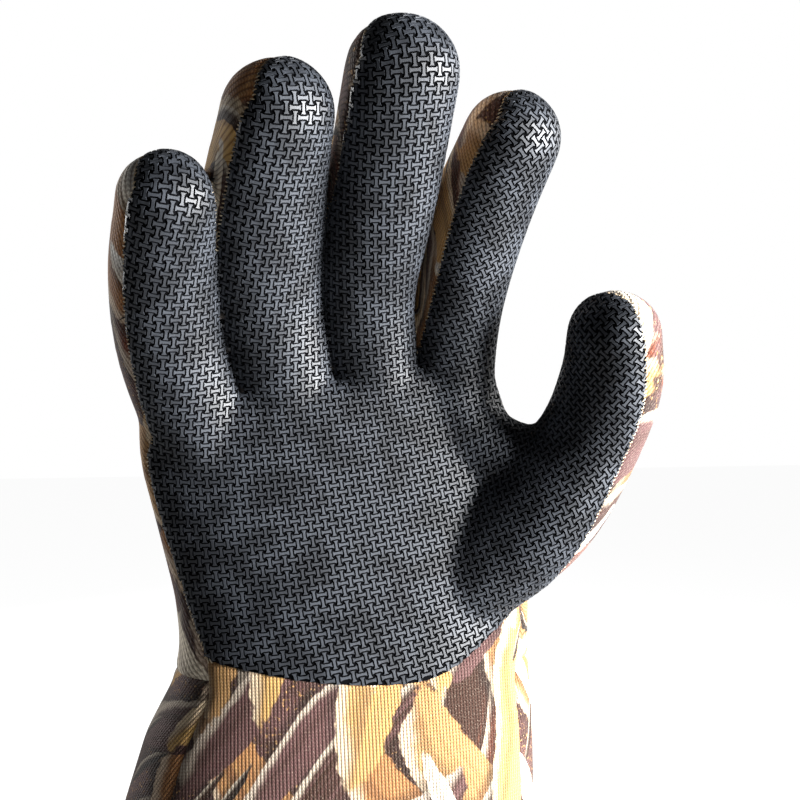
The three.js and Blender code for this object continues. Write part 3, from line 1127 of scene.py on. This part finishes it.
@dataclass(frozen=True)
class ClothFinish:
    """Printed knit cloth on neoprene, patterned on its own flat cut in millimetres, with painted shade
    darkening the knit's furrows.
    """

    name: str
    seed: float
    relief: float = 0.00022
    worn: float = 0.16
    wear_scale: float = 2.2
    wear: tuple[float, float] = (0.5, 0.75)
    # Painted shade: this colour is multiplied into the print where the knit's furrows lie.
    furrow_shade: Colour = (0.42, 0.38, 0.36, 1)
    furrow_roughness: float = 0.92
    smoother_ribs: float = 0.12
    sheen: float = 0.15
    specular: float = 0.2

    def make(self, shop: Workshop) -> bpy.types.Material:
        """Make the material.

        Args:
            shop: The shared node groups.

        Returns:
            The material.
        """
        material, desk, shader = new_material(self.name)
        flat = desk.flat_place()
        knit = desk.place(shop.knit, Vector=flat).outputs
        printed = desk.place(shop.camouflage, Vector=flat, Seed=self.seed).outputs["Color"]
        pale = desk.ramp(desk.noise(flat, self.wear_scale), *self.wear)
        worn = desk.blend(desk.math("MULTIPLY", pale, self.worn), printed, CREAM)
        # Painted shade: the knit's furrows take the print darkened by this colour; the ribs keep the worn
        # print.
        furrow_shade = desk.blend(1.0, worn, self.furrow_shade, "MULTIPLY")
        desk.fill(
            shader, Base_Color=desk.blend(knit["Shade"], furrow_shade, worn),
            Roughness=desk.math("MULTIPLY_ADD", knit["Shade"], -self.smoother_ribs, self.furrow_roughness),
            Normal=desk.relief(knit["Height"], self.relief), Sheen_Weight=self.sheen,
            Specular_IOR_Level=self.specular,
        )
        return material


@dataclass(frozen=True)
class RubberFinish:
    """Rubber, foam or thread with a fine grain, paler where it is scuffed."""

    name: str
    dark: Colour
    scuffed: Colour
    roughness: float
    specular: float = 0.5
    relief: float = 0.00006
    relief_strength: float = 0.6
    grain_size: float = 0.3
    scuffs: tuple[float, float] = (0.0, 0.6)
    rougher_grain: float = 0.2

    def make(self, shop: Workshop) -> bpy.types.Material:
        """Make the material.

        Args:
            shop: The shared node groups.

        Returns:
            The material.
        """
        material, desk, shader = new_material(self.name)
        place = desk.scaled(desk.add("TexCoord").outputs["Object"], 1 / MM)
        grain = desk.place(shop.grain, Vector=place, Size=self.grain_size).outputs
        scuff = desk.ramp(desk.math("MULTIPLY", grain["Mottle"], grain["Height"]), *self.scuffs)
        desk.fill(
            shader, Base_Color=desk.blend(scuff, self.dark, self.scuffed),
            Roughness=desk.math("MULTIPLY_ADD", grain["Height"], self.rougher_grain, self.roughness),
            Normal=desk.relief(grain["Height"], self.relief, self.relief_strength),
            Specular_IOR_Level=self.specular,
        )
        return material


@dataclass(frozen=True)
class JerseyFinish:
    """Plain fine knit: the lining and the tape of the binding, with painted shade darkening the knit's
    furrows.
    """

    name: str
    light: Colour
    # shade is a darker tone that the mottle mixes in at random, and also the colour painted into the knit's
    # furrows as shade.
    shade: Colour
    rib: float = 0.7
    course_share: float = 0.8
    relief: float = 0.0001
    grain_size: float = 0.4
    mottled: float = 0.5
    roughness: float = 0.8
    rougher_grain: float = 0.15
    sheen: float = 0.1

    def make(self, shop: Workshop) -> bpy.types.Material:
        """Make the material.

        Args:
            shop: The shared node groups.

        Returns:
            The material.
        """
        material, desk, shader = new_material(self.name)
        flat = desk.flat_place()
        knit = desk.place(shop.knit, Vector=flat, Rib=self.rib, Course=self.rib * self.course_share).outputs
        grain = desk.place(shop.grain, Vector=flat, Size=self.grain_size).outputs
        mixed = desk.blend(desk.math("MULTIPLY", grain["Mottle"], self.mottled), self.light, self.shade)
        desk.fill(
            # Painted shade: the knit's furrows take the darker shade colour; the ribs keep the mottled mix.
            shader, Base_Color=desk.blend(knit["Shade"], self.shade, mixed),
            Roughness=desk.math("MULTIPLY_ADD", grain["Height"], self.rougher_grain, self.roughness),
            Normal=desk.relief(knit["Height"], self.relief), Sheen_Weight=self.sheen,
        )
        return material


LINING = JerseyFinish("lining_jersey", (0.06, 0.05, 0.045, 1), (0.02, 0.017, 0.016, 1))
TAPE = JerseyFinish("binding_knit", (0.11, 0.075, 0.05, 1), (0.03, 0.02, 0.014, 1), rib=0.9)
FOAM = RubberFinish("neoprene_foam", (0.012, 0.012, 0.013, 1), (0.03, 0.03, 0.032, 1), 0.75)
THREAD = RubberFinish("seam_thread", (0.5, 0.38, 0.24, 1), (0.75, 0.66, 0.5, 1), 0.7)
# The palm's blocks and the ground between them are one rubber; the ground is given a near-black colour, far
# darker than the blocks, as painted shade in the grooves.
PALM_GROOVE_SHADE = RubberFinish(
    "palm_groove_painted_shade", (0.0015, 0.0016, 0.002, 1), (0.003, 0.0032, 0.004, 1), 0.8, specular=0.04,
)
PALM_BLOCK = RubberFinish(
    "palm_block_rubber", (0.022, 0.025, 0.031, 1), (0.055, 0.062, 0.075, 1), 0.4, specular=0.55,
)


# The flat cut of each panel


def shares_in(point: np.ndarray, a: np.ndarray, b: np.ndarray, c: np.ndarray) -> np.ndarray:
    """Work out how much of each corner goes into points that lie in triangles.

    Args:
        point: One row for each point.
        a: The first corner of each point's triangle.
        b: The second.
        c: The third.

    Returns:
        Three shares for each point, which add up to 1.
    """
    ab, ac, ap = b - a, c - a, point - a
    bb, bc, cc = (ab * ab).sum(axis=1), (ab * ac).sum(axis=1), (ac * ac).sum(axis=1)
    pb, pc = (ap * ab).sum(axis=1), (ap * ac).sum(axis=1)
    total = bb * cc - bc * bc
    share_b = (cc * pb - bc * pc) / total
    share_c = (bb * pc - bc * pb) / total
    return np.stack([1 - share_b - share_c, share_b, share_c], axis=1)[:, :, None]


@dataclass
class Landing:
    """Where points land on a mesh of triangles, and how far they come."""

    corners: np.ndarray
    shares: np.ndarray
    places: np.ndarray
    distances: np.ndarray

    @classmethod
    def of(cls, wanted: np.ndarray, points: np.ndarray, triangles: np.ndarray) -> "Landing":
        """Bring points to the nearest place on a mesh.

        Args:
            wanted: One row for each point that is brought.
            points: One row for each point of the mesh.
            triangles: The numbers of the three corners of each of its triangles.

        Returns:
            Where they land.
        """
        tree = BVHTree.FromPolygons(points.tolist(), triangles.tolist())
        found = [tree.find_nearest(point) for point in wanted.tolist()]
        corners = triangles[[hit[2] for hit in found]]
        places = np.array([tuple(hit[0]) for hit in found])
        shares = shares_in(places, *(points[corners[:, i]] for i in range(3)))
        return cls(corners, shares, places, np.array([hit[3] for hit in found]))

    def mix(self, values: np.ndarray) -> np.ndarray:
        """Read values given for the mesh's points where the points land."""
        return (values[self.corners] * self.shares).sum(axis=1)


@dataclass
class FlatCut:
    """A panel's flat cut: where the points of its curved sheet lie on the flat cloth, in millimetres."""

    places: np.ndarray
    points: np.ndarray
    triangles: np.ndarray

    @classmethod
    def of(cls, sheet: bpy.types.Object, facing: Face, coarseness: float, rounds: int) -> "FlatCut":
        """Unwrap a coarse copy of a sheet and bring it upright and to its true size.

        Args:
            sheet: The panel's open sheet.
            facing: The side of the glove that it is on.
            coarseness: The share of the faces that the copy keeps.
            rounds: How many times the unwrap is relaxed towards its true lengths.

        Returns:
            The flat cut.
        """
        choose(sheet)
        bpy.ops.object.duplicate()
        copy = bpy.context.object
        apply_modifier(copy, "DECIMATE", ratio=coarseness, use_collapse_triangulate=True)
        copy.data.uv_layers.new(name=FLAT_CUT)
        with editing(copy):
            bpy.ops.uv.unwrap(method="MINIMUM_STRETCH", fill_holes=False, margin=0.0, iterations=rounds)
        corners = read_column(copy.data.loops, "vertex_index", kind=int)
        places = np.zeros((len(copy.data.vertices), 2))
        places[corners] = read_column(copy.data.uv_layers[FLAT_CUT].uv, "vector", 2)
        points = mesh_points(copy)
        triangles = corners.reshape(-1, 3)
        bpy.data.objects.remove(copy)
        places = cls._true_size(cls._upright(places, points, facing), points, triangles)
        return cls(places, points, triangles)

    @staticmethod
    def _upright(places: np.ndarray, points: np.ndarray, facing: Face) -> np.ndarray:
        """Turn places so that, over the middle of the panel, they agree with how it looks face on.

        Args:
            places: Where each point lies on the flat cut.
            points: Where it lies in space.
            facing: The side of the glove that the panel is on.

        Returns:
            The turned places.
        """
        distance = np.linalg.norm(points - np.median(points, axis=0), axis=1)
        near = distance < np.quantile(distance, MIDDLE_SHARE)
        side = 1.0 if facing is Face.PALM else -1.0
        flat = places[near, 0] + 1j * places[near, 1]
        seen = side * points[near, 0] + 1j * points[near, 2]
        turn = np.vdot(flat - flat.mean(), seen - seen.mean())
        turned = (places[:, 0] + 1j * places[:, 1] - flat.mean()) * turn / abs(turn)
        return np.stack([turned.real, turned.imag], axis=1)

    @staticmethod
    def _true_size(places: np.ndarray, points: np.ndarray, triangles: np.ndarray) -> np.ndarray:
        """Scale places so that the flat cut has the area of the sheet.

        Args:
            places: Where each point lies on the flat cut.
            points: Where it lies in space, in millimetres.
            triangles: The numbers of the three corners of each triangle.

        Returns:
            The scaled places, in millimetres.
        """
        areas = []
        for corners in (points, np.column_stack([places, np.zeros(len(places))])):
            a, b, c = (corners[triangles[:, i]] for i in range(3))
            areas.append(np.linalg.norm(np.cross(b - a, c - a), axis=1).sum())
        return places * math.sqrt(areas[0] / areas[1])

    def keep_on(self, sheet: bpy.types.Object) -> None:
        """Carry the flat cut to a sheet as its UV map."""
        keep_flat_places(sheet, Landing.of(mesh_points(sheet), self.points, self.triangles).mix(self.places))

    def lift(self, wanted: np.ndarray) -> tuple[np.ndarray, np.ndarray]:
        """Carry places on the flat cut to the curved sheet.

        Args:
            wanted: One row for each place, in millimetres.

        Returns:
            The points in space, and how far outside the flat cut each place was.
        """
        flat, level = (np.column_stack([rows, np.zeros(len(rows))]) for rows in (self.places, wanted))
        landing = Landing.of(level, flat, self.triangles)
        return landing.mix(self.points), landing.distances


def stand_on(sheet: bpy.types.Object, points: np.ndarray, heights: np.ndarray) -> np.ndarray:
    """Bring points onto a sheet, and then away from it by their heights.

    Args:
        sheet: The sheet.
        points: One row for each point, in millimetres, close to the sheet.
        heights: How far above the sheet each one is to lie, in millimetres.

    Returns:
        The points in millimetres.
    """
    data = sheet.data
    data.calc_loop_triangles()
    landing = Landing.of(points, mesh_points(sheet), read_column(data.loop_triangles, "vertices", 3, int))
    up = landing.mix(read_column(data.vertices, "normal", 3))
    up /= np.linalg.norm(up, axis=1)[:, None]
    return landing.places + up * heights[:, None]


def grow_copies(pattern: bpy.types.Object, name: str, points: np.ndarray) -> bpy.types.Object:
    """Copy a small mesh many times into one, with every copy's points given.

    Args:
        pattern: The mesh that is copied, which is used up.
        name: The name of what is made.
        points: The points of each copy in millimetres: copies, points of a copy, 3.

    Returns:
        The object that holds every copy.
    """
    faces = [tuple(face.vertices) for face in pattern.data.polygons]
    count = points.shape[1]
    every = [tuple(i + copy * count for i in face) for copy in range(len(points)) for face in faces]
    data = bpy.data.meshes.new(name)
    data.from_pydata((points.reshape(-1, 3) * MM).tolist(), [], every)
    bpy.data.objects.remove(pattern)
    obj = bpy.data.objects.new(name, data)
    bpy.context.scene.collection.objects.link(obj)
    return obj


@dataclass
class PalmBlocks:
    """The raised blocks of the palm's rubber: waisted bars that stand and lie by turns, in millimetres."""

    pitch: float = 2.1
    length: float = 3.0
    end_width: float = 1.5
    waist: float = 0.78
    flare: float = 0.62
    height: float = 0.62
    sunk: float = 0.25
    slope: float = 0.14
    rows_turn: float = 12.0
    spread: float = 1.5
    overhang: float = 0.15
    sharp_angle: float = 50.0

    def build(self, sheet: bpy.types.Object, cut: FlatCut) -> bpy.types.Object:
        """Model one block and set it out over the flat cut of the palm.

        Args:
            sheet: The palm's sheet.
            cut: Its flat cut.

        Returns:
            The blocks, as one object.
        """
        pattern = self._block()
        shape = mesh_points(pattern) * MM
        low, high = cut.places.min(axis=0), cut.places.max(axis=0)
        reach = int(np.abs(np.concatenate([low, high])).max() * self.spread / self.pitch)
        turn = math.radians(self.rows_turn)
        rows = np.array([[math.cos(turn), math.sin(turn)], [-math.sin(turn), math.cos(turn)]])
        steps = np.arange(-reach, reach + 1)
        column, row = (grid.ravel() for grid in np.meshgrid(steps, steps))
        centres = np.stack([column, row], axis=1) * self.pitch @ rows
        inside = ((centres > low - self.pitch) & (centres < high + self.pitch)).all(axis=1)
        column, row, centres = column[inside], row[inside], centres[inside]
        near = cut.lift(centres)[1] < self.overhang
        column, row, centres = column[near], row[near], centres[near]
        lying = (column + row) % 2 == 1
        flat = np.broadcast_to(shape[:, :2], (len(centres), len(shape), 2)).copy()
        flat[lying] = flat[lying][:, :, ::-1] * (1, -1)
        places = flat @ rows + centres[:, None, :]
        heights = np.broadcast_to(shape[:, 2], (len(centres), len(shape))).ravel()
        points = stand_on(sheet, cut.lift(places.reshape(-1, 2))[0], heights)
        blocks = grow_copies(pattern, "palm_blocks", points.reshape(len(centres), len(shape), 3))
        log.info("palm blocks: %d", len(centres))
        shade_smooth(blocks, self.sharp_angle)
        return blocks

    def _block(self) -> bpy.types.Object:
        """Model one upright block: a waisted outline extruded to its height, with its top drawn in.

        Returns:
            The block, whose mesh has one metre for each millimetre until its copies are made.
        """
        half, end, waist = self.length / 2, self.end_width / 2, self.waist / 2
        inner = half - self.flare
        outline = (
            (end, half), (-end, half), (-waist, inner), (-waist, -inner),
            (-end, -half), (end, -half), (waist, -inner), (waist, inner),
        )
        deselect_all()
        bpy.ops.mesh.primitive_circle_add(vertices=len(outline), radius=1.0, fill_type="NGON")
        block = bpy.context.object
        set_mesh_points(block, np.array([(x, y, -self.sunk) for x, y in outline]) / MM)
        drawn_in = (1 - self.slope / end, 1 - self.slope / half, 1)
        with editing(block):
            rise = self.height + self.sunk
            bpy.ops.mesh.extrude_region_move(TRANSFORM_OT_translate={"value": (0, 0, rise)})
            bpy.ops.transform.resize(value=drawn_in, center_override=(0, 0, 0))
            face_outwards()
        return block


@dataclass
class Stitching:
    """A row of short stitches that cross a seam, each a thin bowed tube, in millimetres."""

    reach: float = 1.15
    radius: float = 0.2
    taper: float = 0.45
    lift: float = 0.5
    lean: float = 0.35
    sides: int = 5
    stations: int = 5

    def sew(self, name: str, points: np.ndarray, ups: np.ndarray, aheads: np.ndarray) -> bpy.types.Object:
        """Sew a row of stitches.

        Args:
            name: The name of what is made.
            points: The middle of each stitch, in millimetres.
            ups: The direction away from the cloth at each of them.
            aheads: The direction along the seam at each of them.

        Returns:
            The stitches, as one object.
        """
        pattern = sleeve("stitch", self.sides, self.stations)
        shape = mesh_points(pattern) * MM
        station = np.rint(shape[:, 2]) / (self.stations - 1) * 2 - 1
        thick = self.radius * (1 - self.taper * station**4)
        across = np.cross(aheads, ups)
        across += aheads * self.lean
        across /= np.linalg.norm(across, axis=1)[:, None]
        side = np.cross(ups, across)
        rise = self.lift * (1 - station**2) - self.radius * station**4
        along = (station * self.reach)[None, :, None] * across[:, None, :]
        wide = (shape[:, 0] * thick)[None, :, None] * side[:, None, :]
        high = (shape[:, 1] * thick + rise)[None, :, None] * ups[:, None, :]
        return grow_copies(pattern, name, points[:, None, :] + along + wide + high)


def seam_samples(sheet: bpy.types.Object, spacing: float) -> tuple[np.ndarray, np.ndarray, np.ndarray]:
    """Step along the edge of a sheet.

    Args:
        sheet: The open sheet.
        spacing: The distance between two steps, in millimetres.

    Returns:
        The points in millimetres, the directions away from the sheet and the directions along its edge.
    """
    mesh = bmesh.new()
    mesh.from_mesh(sheet.data)
    mesh.normal_update()
    ahead = {}
    for edge in mesh.edges:
        if edge.is_boundary:
            loop = edge.link_loops[0]
            ahead[loop.vert] = loop.link_loop_next.vert
    points, ups = [], []
    while ahead:
        vert, chain = next(iter(ahead)), []
        while vert in ahead:
            chain.append(vert)
            vert = ahead.pop(vert)
        chain.append(vert)
        line = np.array([v.co for v in chain]) / MM
        normal = np.array([v.normal for v in chain])
        length = np.concatenate([[0], np.cumsum(np.linalg.norm(np.diff(line, axis=0), axis=1))])
        wanted = np.arange(spacing / 2, length[-1], spacing)
        for rows, along in ((points, line), (ups, normal)):
            rows.append(np.stack([np.interp(wanted, length, column) for column in along.T], axis=1))
    mesh.free()
    aheads = [np.gradient(row, axis=0) for row in points]
    points, ups, aheads = np.concatenate(points), np.concatenate(ups), np.concatenate(aheads)
    ups /= np.linalg.norm(ups, axis=1)[:, None]
    aheads /= np.linalg.norm(aheads, axis=1)[:, None]
    return points, ups, aheads


# The studio


@dataclass(frozen=True)
class Lamp:
    """One soft light: its place and size in metres and its power in watts."""

    name: str
    place: tuple[float, float, float]
    size: float
    power: float


LAMPS = (
    Lamp("key", (0.5, -0.3, 0.31), 0.26, 18.5),
    Lamp("side", (0.8, 0.3, 0.5), 0.5, 3.0),
    Lamp("rim", (-0.6, 0.9, 0.5), 0.4, 10.0),
)


@dataclass
class Studio:
    """A pale floor, soft light from the right, and the camera.

    Places and lengths are in metres, the lens and its sensor in millimetres and the azimuth in degrees.
    """

    target: tuple[float, float, float] = (0.036, 0.0, 0.2725)
    distance: float = 0.33
    azimuth: float = -15.0
    lens: float = 49.5
    sensor: float = 36.0
    nearest: float = 0.01
    floor_size: float = 8.0
    floor_height: float = -0.02
    floor_colour: Colour = (0.25, 0.25, 0.25, 1)
    floor_roughness: float = 0.9
    floor_glow: float = 0.9
    white: Colour = (1, 1, 1, 1)
    ambient: float = 0.05
    lamps: tuple[Lamp, ...] = LAMPS
    aim: tuple[float, float, float] = (0.02, 0.0, 0.26)

    def build(self) -> None:
        """Set up the camera, the floor, the surroundings and the lights."""
        self._camera()
        self._floor()
        self._surroundings()
        for lamp in self.lamps:
            self._hang(lamp)

    def _camera(self) -> None:
        """Look at the glove from slightly to its left, as in the photograph."""
        data = bpy.data.cameras.new("camera")
        data.lens = self.lens
        data.sensor_width = self.sensor
        data.clip_start = self.nearest
        camera = bpy.data.objects.new("camera", data)
        turn = math.radians(self.azimuth)
        away = Vector((math.sin(turn), -math.cos(turn), 0.0)) * self.distance
        camera.location = Vector(self.target) + away
        camera.rotation_euler = (math.pi / 2, 0.0, turn)
        bpy.context.scene.collection.objects.link(camera)
        bpy.context.scene.camera = camera

    def _glow(self, desk: NodeDesk, seen: float) -> bpy.types.NodeSocket:
        """Work out a glow: the ambient light, and more by seen where the camera looks straight at it."""
        return desk.math("MULTIPLY_ADD", desk.add("LightPath").outputs["Is Camera Ray"], seen, self.ambient)

    def _floor(self) -> None:
        """Lay a pale floor just under the cuff."""
        deselect_all()
        bpy.ops.mesh.primitive_plane_add(size=self.floor_size, location=(0, 0, 0))
        floor = bpy.context.object
        floor.name = "floor"
        floor.data.transform(Matrix.Translation((0, 0, self.floor_height)))
        material, desk, shader = new_material("pale_floor")
        desk.fill(
            shader, Base_Color=self.floor_colour, Roughness=self.floor_roughness, Emission_Color=self.white,
            Emission_Strength=self._glow(desk, self.floor_glow),
        )
        floor.data.materials.append(material)

    def _surroundings(self) -> None:
        """Surround the studio with even white."""
        world = bpy.data.worlds.new("white_studio")
        world.use_nodes = True
        desk = NodeDesk(world.node_tree)
        sky = world.node_tree.nodes["Background"]
        desk.fill(sky, Color=self.white, Strength=self._glow(desk, 1.0 - self.ambient))
        bpy.context.scene.world = world
        bpy.context.scene.view_settings.view_transform = "Standard"

    def _hang(self, lamp: Lamp) -> None:
        """Hang a soft light that faces the glove.

        Args:
            lamp: The light.
        """
        data = bpy.data.lights.new(lamp.name, "AREA")
        data.size = lamp.size
        data.energy = lamp.power
        light = bpy.data.objects.new(lamp.name, data)
        light.location = lamp.place
        aim = Vector(self.aim) - Vector(lamp.place)
        light.rotation_euler = aim.to_track_quat("-Z", "Y").to_euler()
        bpy.context.scene.collection.objects.link(light)


# The glove


@dataclass
class Binding:
    """The strip of tape folded over the raw edge of the cuff, with its two rows of stitches."""

    form: HandForm
    height: float = 12.8
    straight_from: float = 7.0
    corner: tuple[tuple[float, float], ...] = ((0.0, 1.3), (0.35, 0.4), (1.2, 0.0))
    thickness: float = 1.2
    clearance: float = 0.3
    cuff_wall: float = 3.5
    bevel: float = 0.25
    sides: int = 120
    cloth_radius: float = 58.0
    cloth_step: float = 3.0
    edge_rows: tuple[float, ...] = (10.6, 8.4)
    stitches_round: int = 150
    sharp_angle: float = 50.0

    def build(self, finish: bpy.types.Material) -> bpy.types.Object:
        """Model the tape: an open ring extruded once for each line of its fold, then given its thickness.

        Args:
            finish: The tape's material.

        Returns:
            The tape.
        """
        offsets, heights = np.array(self._fold()).T
        tape = sleeve("binding_tape", self.sides, len(heights), closed=False)
        shape = mesh_points(tape) * MM
        station, u, v = rounded(shape)
        set_mesh_points(tape, self._ring(u, v, offsets[station], heights[station]))
        around = np.arctan2(shape[:, 1], shape[:, 0]) * self.cloth_radius
        keep_flat_places(tape, np.stack([around, station * self.cloth_step], axis=1))
        with editing(tape):
            face_outwards()
        apply_modifier(tape, "SOLIDIFY", thickness=self.thickness * MM, offset=0.0)
        bevel = {"width": self.bevel * MM, "segments": 2, "limit_method": "ANGLE", "angle_limit": 1.0}
        apply_modifier(tape, "BEVEL", **bevel)
        tape.data.materials.append(finish)
        shade_smooth(tape, self.sharp_angle)
        return tape

    def _fold(self) -> list[tuple[float, float]]:
        """Work out the lines of the fold, from the outside under the edge and up the inside.

        Returns:
            How far outside the cuff and how high each line lies.
        """
        outside = self.clearance + self.thickness / 2
        inside = -self.cuff_wall - outside
        bottom = self.thickness / 2
        down = [(outside, self.height), (outside, self.straight_from)]
        down += [(outside - inward, bottom + up) for inward, up in self.corner]
        rise = [(inside + inward, bottom + up) for inward, up in reversed(self.corner)]
        return down + rise + [(inside, self.straight_from), (inside, self.height)]

    def _ring(self, u: np.ndarray, v: np.ndarray, offset: np.ndarray, z: np.ndarray) -> np.ndarray:
        """Work out points beside the cuff's section.

        Args:
            u: Their places across a section of half size 1.
            v: Their places along its depth.
            offset: How far outside the cuff they lie.
            z: Their heights.

        Returns:
            One row for each point.
        """
        x = self.form.level("x", z) + u * (self.form.level("half_width", z) + offset)
        y = self.form.level("y", z) + v * (self.form.level("half_depth", z) + offset)
        return np.stack([x, y, z], axis=1)

    def stitches(self, sewing: Stitching) -> bpy.types.Object:
        """Sew the rows of stitches through the tape.

        Args:
            sewing: The stitches' sizes.

        Returns:
            The stitches, as one object.
        """
        u, v = squared(np.linspace(0, 2 * math.pi, self.stitches_round + 1)[:-1])
        beside = np.full(len(u), self.clearance + self.thickness)
        rows = [self._ring(u, v, beside, np.full(len(u), height)) for height in self.edge_rows]
        points = np.concatenate(rows)
        aheads = np.concatenate([np.roll(row, -1, axis=0) - np.roll(row, 1, axis=0) for row in rows])
        aheads /= np.linalg.norm(aheads, axis=1)[:, None]
        upright = np.broadcast_to(np.array([0.0, 0.0, 1.0]), points.shape)
        return sewing.sew("binding_stitches", points, np.cross(aheads, upright), upright.copy())


@dataclass(frozen=True)
class Dressing:
    """What one panel is made of and how its flat cut is found.

    It holds a name for the panel that the script does not read, the nodes that it stands for, the side of the
    glove that it is on, its print's seed, how far its face rises over the solid's in millimetres, and the
    flat cut's two settings.
    """

    slot: str
    nodes: tuple[str, ...]
    facing: Face
    seed: float = 0.0
    outward: float = 0.0
    coarseness: float = 0.03
    rounds: int = 150


BACK_NODES = (
    "back_panel", "little_finger_back", "ring_finger_back", "middle_finger_back", "index_finger_back",
    "thumb_back",
)
DRESSINGS = {
    Panel.PALM: Dressing("palm_rubber", ("palm_panel",), Face.PALM, outward=0.3, coarseness=0.07),
    Panel.BACK: Dressing("back_cloth", BACK_NODES, Face.BACK),
    Panel.CUFF_FRONT: Dressing("cuff_front_cloth", ("cuff_front_panel",), Face.PALM, seed=3.0),
    Panel.CUFF_BACK: Dressing("cuff_back_cloth", ("cuff_back_panel",), Face.BACK, seed=7.0),
}

SEAM_STITCHES = Stitching()
SEAM_TACK = Stitching(reach=1.7, radius=0.22, lift=0.3, lean=0.9)
BINDING_STITCHES = Stitching(reach=0.9, lean=0.0)


@dataclass
class Gauntlet:
    """The whole glove, made from its form."""

    form: HandForm
    shop: Workshop
    stitch_spacing: float = 1.2
    plain_edge: float = 2.5
    tack_height: float = 4.5

    def build(self) -> list[bpy.types.Object]:
        """Build every piece of the glove.

        Returns:
            The pieces.
        """
        lining, foam, tape, thread = (finish.make(self.shop) for finish in (LINING, FOAM, TAPE, THREAD))
        skin = HandModeller(self.form).model()
        log.info("skin: %d points", len(skin.data.vertices))
        pieces = []
        for panel, sheet in SeamCutter(self.form).cut(skin).items():
            dressing = DRESSINGS[panel]
            cut = FlatCut.of(sheet, dressing.facing, dressing.coarseness, dressing.rounds)
            cut.keep_on(sheet)
            log.info("%s: flat cut %.0f by %.0f mm", sheet.name, *np.ptp(cut.places, axis=0))
            if panel is Panel.PALM:
                # The palm sheet's face is the groove floor between the blocks, painted near black as shade.
                outer = PALM_GROOVE_SHADE
                pieces += self._palm_trim(sheet, cut, thread)
            else:
                outer = ClothFinish(f"{panel.value}_print", dressing.seed)
            pieces.append(self._thicken(sheet, dressing, [outer.make(self.shop), lining, foam]))
        pieces += self._bind(tape, thread)
        for piece in pieces:
            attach(piece, BODY)
            log.info("%s: %d faces", piece.name, len(piece.data.polygons))
        return pieces

    def _bind(self, tape: bpy.types.Material, thread: bpy.types.Material) -> list[bpy.types.Object]:
        """Bind the mouth of the cuff.

        Args:
            tape: The tape's material.
            thread: The thread's material.

        Returns:
            The tape and its stitches.
        """
        binding = Binding(self.form)
        strip = binding.build(tape)
        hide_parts("cuff_binding")
        rows = binding.stitches(BINDING_STITCHES)
        rows.data.materials.append(thread)
        return [strip, rows]

    def _palm_trim(
        self, sheet: bpy.types.Object, cut: FlatCut, thread: bpy.types.Material,
    ) -> list[bpy.types.Object]:
        """Raise the palm's blocks and sew its seams.

        Args:
            sheet: The palm's open sheet.
            cut: Its flat cut.
            thread: The thread's material.

        Returns:
            The blocks, the stitches and the tack at the end of the seam.
        """
        blocks = PalmBlocks().build(sheet, cut)
        blocks.data.materials.append(PALM_BLOCK.make(self.shop))
        points, ups, aheads = seam_samples(sheet, self.stitch_spacing)
        rise = points[:, 2] - self.form.palm_edge_height(points[:, 0])
        side = rise > self.plain_edge
        corner = (points[:, 0] < 0) & (rise > 0) & (rise < self.tack_height)
        pieces = [
            sewing.sew(name, points[where], ups[where], aheads[where])
            for name, sewing, where in (
                ("palm_seam_stitches", SEAM_STITCHES, side), ("seam_end_tack", SEAM_TACK, corner),
            )
        ]
        for piece in pieces:
            piece.data.materials.append(thread)
            shade_smooth(piece)
        return [blocks, *pieces]

    def _thicken(
        self, sheet: bpy.types.Object, dressing: Dressing, finishes: list[bpy.types.Material],
    ) -> bpy.types.Object:
        """Give a panel its wall, lining and finishes.

        Args:
            sheet: The panel's open sheet.
            dressing: What the panel is made of.
            finishes: Its outer face, its lining and its cut edge.

        Returns:
            The panel.
        """
        for finish in finishes:
            sheet.data.materials.append(finish)
        wall = WALL + dressing.outward
        offset = 2 * dressing.outward / wall - 1
        apply_modifier(
            sheet, "SOLIDIFY", thickness=wall * MM, offset=offset, material_offset=1, material_offset_rim=2,
        )
        shade_smooth(sheet)
        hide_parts(*dressing.nodes)
        return sheet


def main() -> None:
    """Build the glove and its studio, in order."""
    logging.basicConfig(level=logging.INFO, format="%(relativeCreated)d ms: %(message)s")
    limbs = (
        Limb("little_finger", LITTLE_SECTIONS, wrap=0.5),
        Limb("ring_finger", RING_SECTIONS, wrap=0.3),
        Limb("middle_finger", MIDDLE_SECTIONS, wrap=0.6),
        Limb("index_finger", INDEX_SECTIONS, wrap=0.35),
        Limb("thumb", THUMB_SECTIONS, wrap=0.2),
    )
    form = HandForm(limbs, Limb("thumb_web", WEB_SECTIONS))
    Studio().build()
    Gauntlet(form, Workshop.open()).build()


if __name__ == "__main__":
    main()
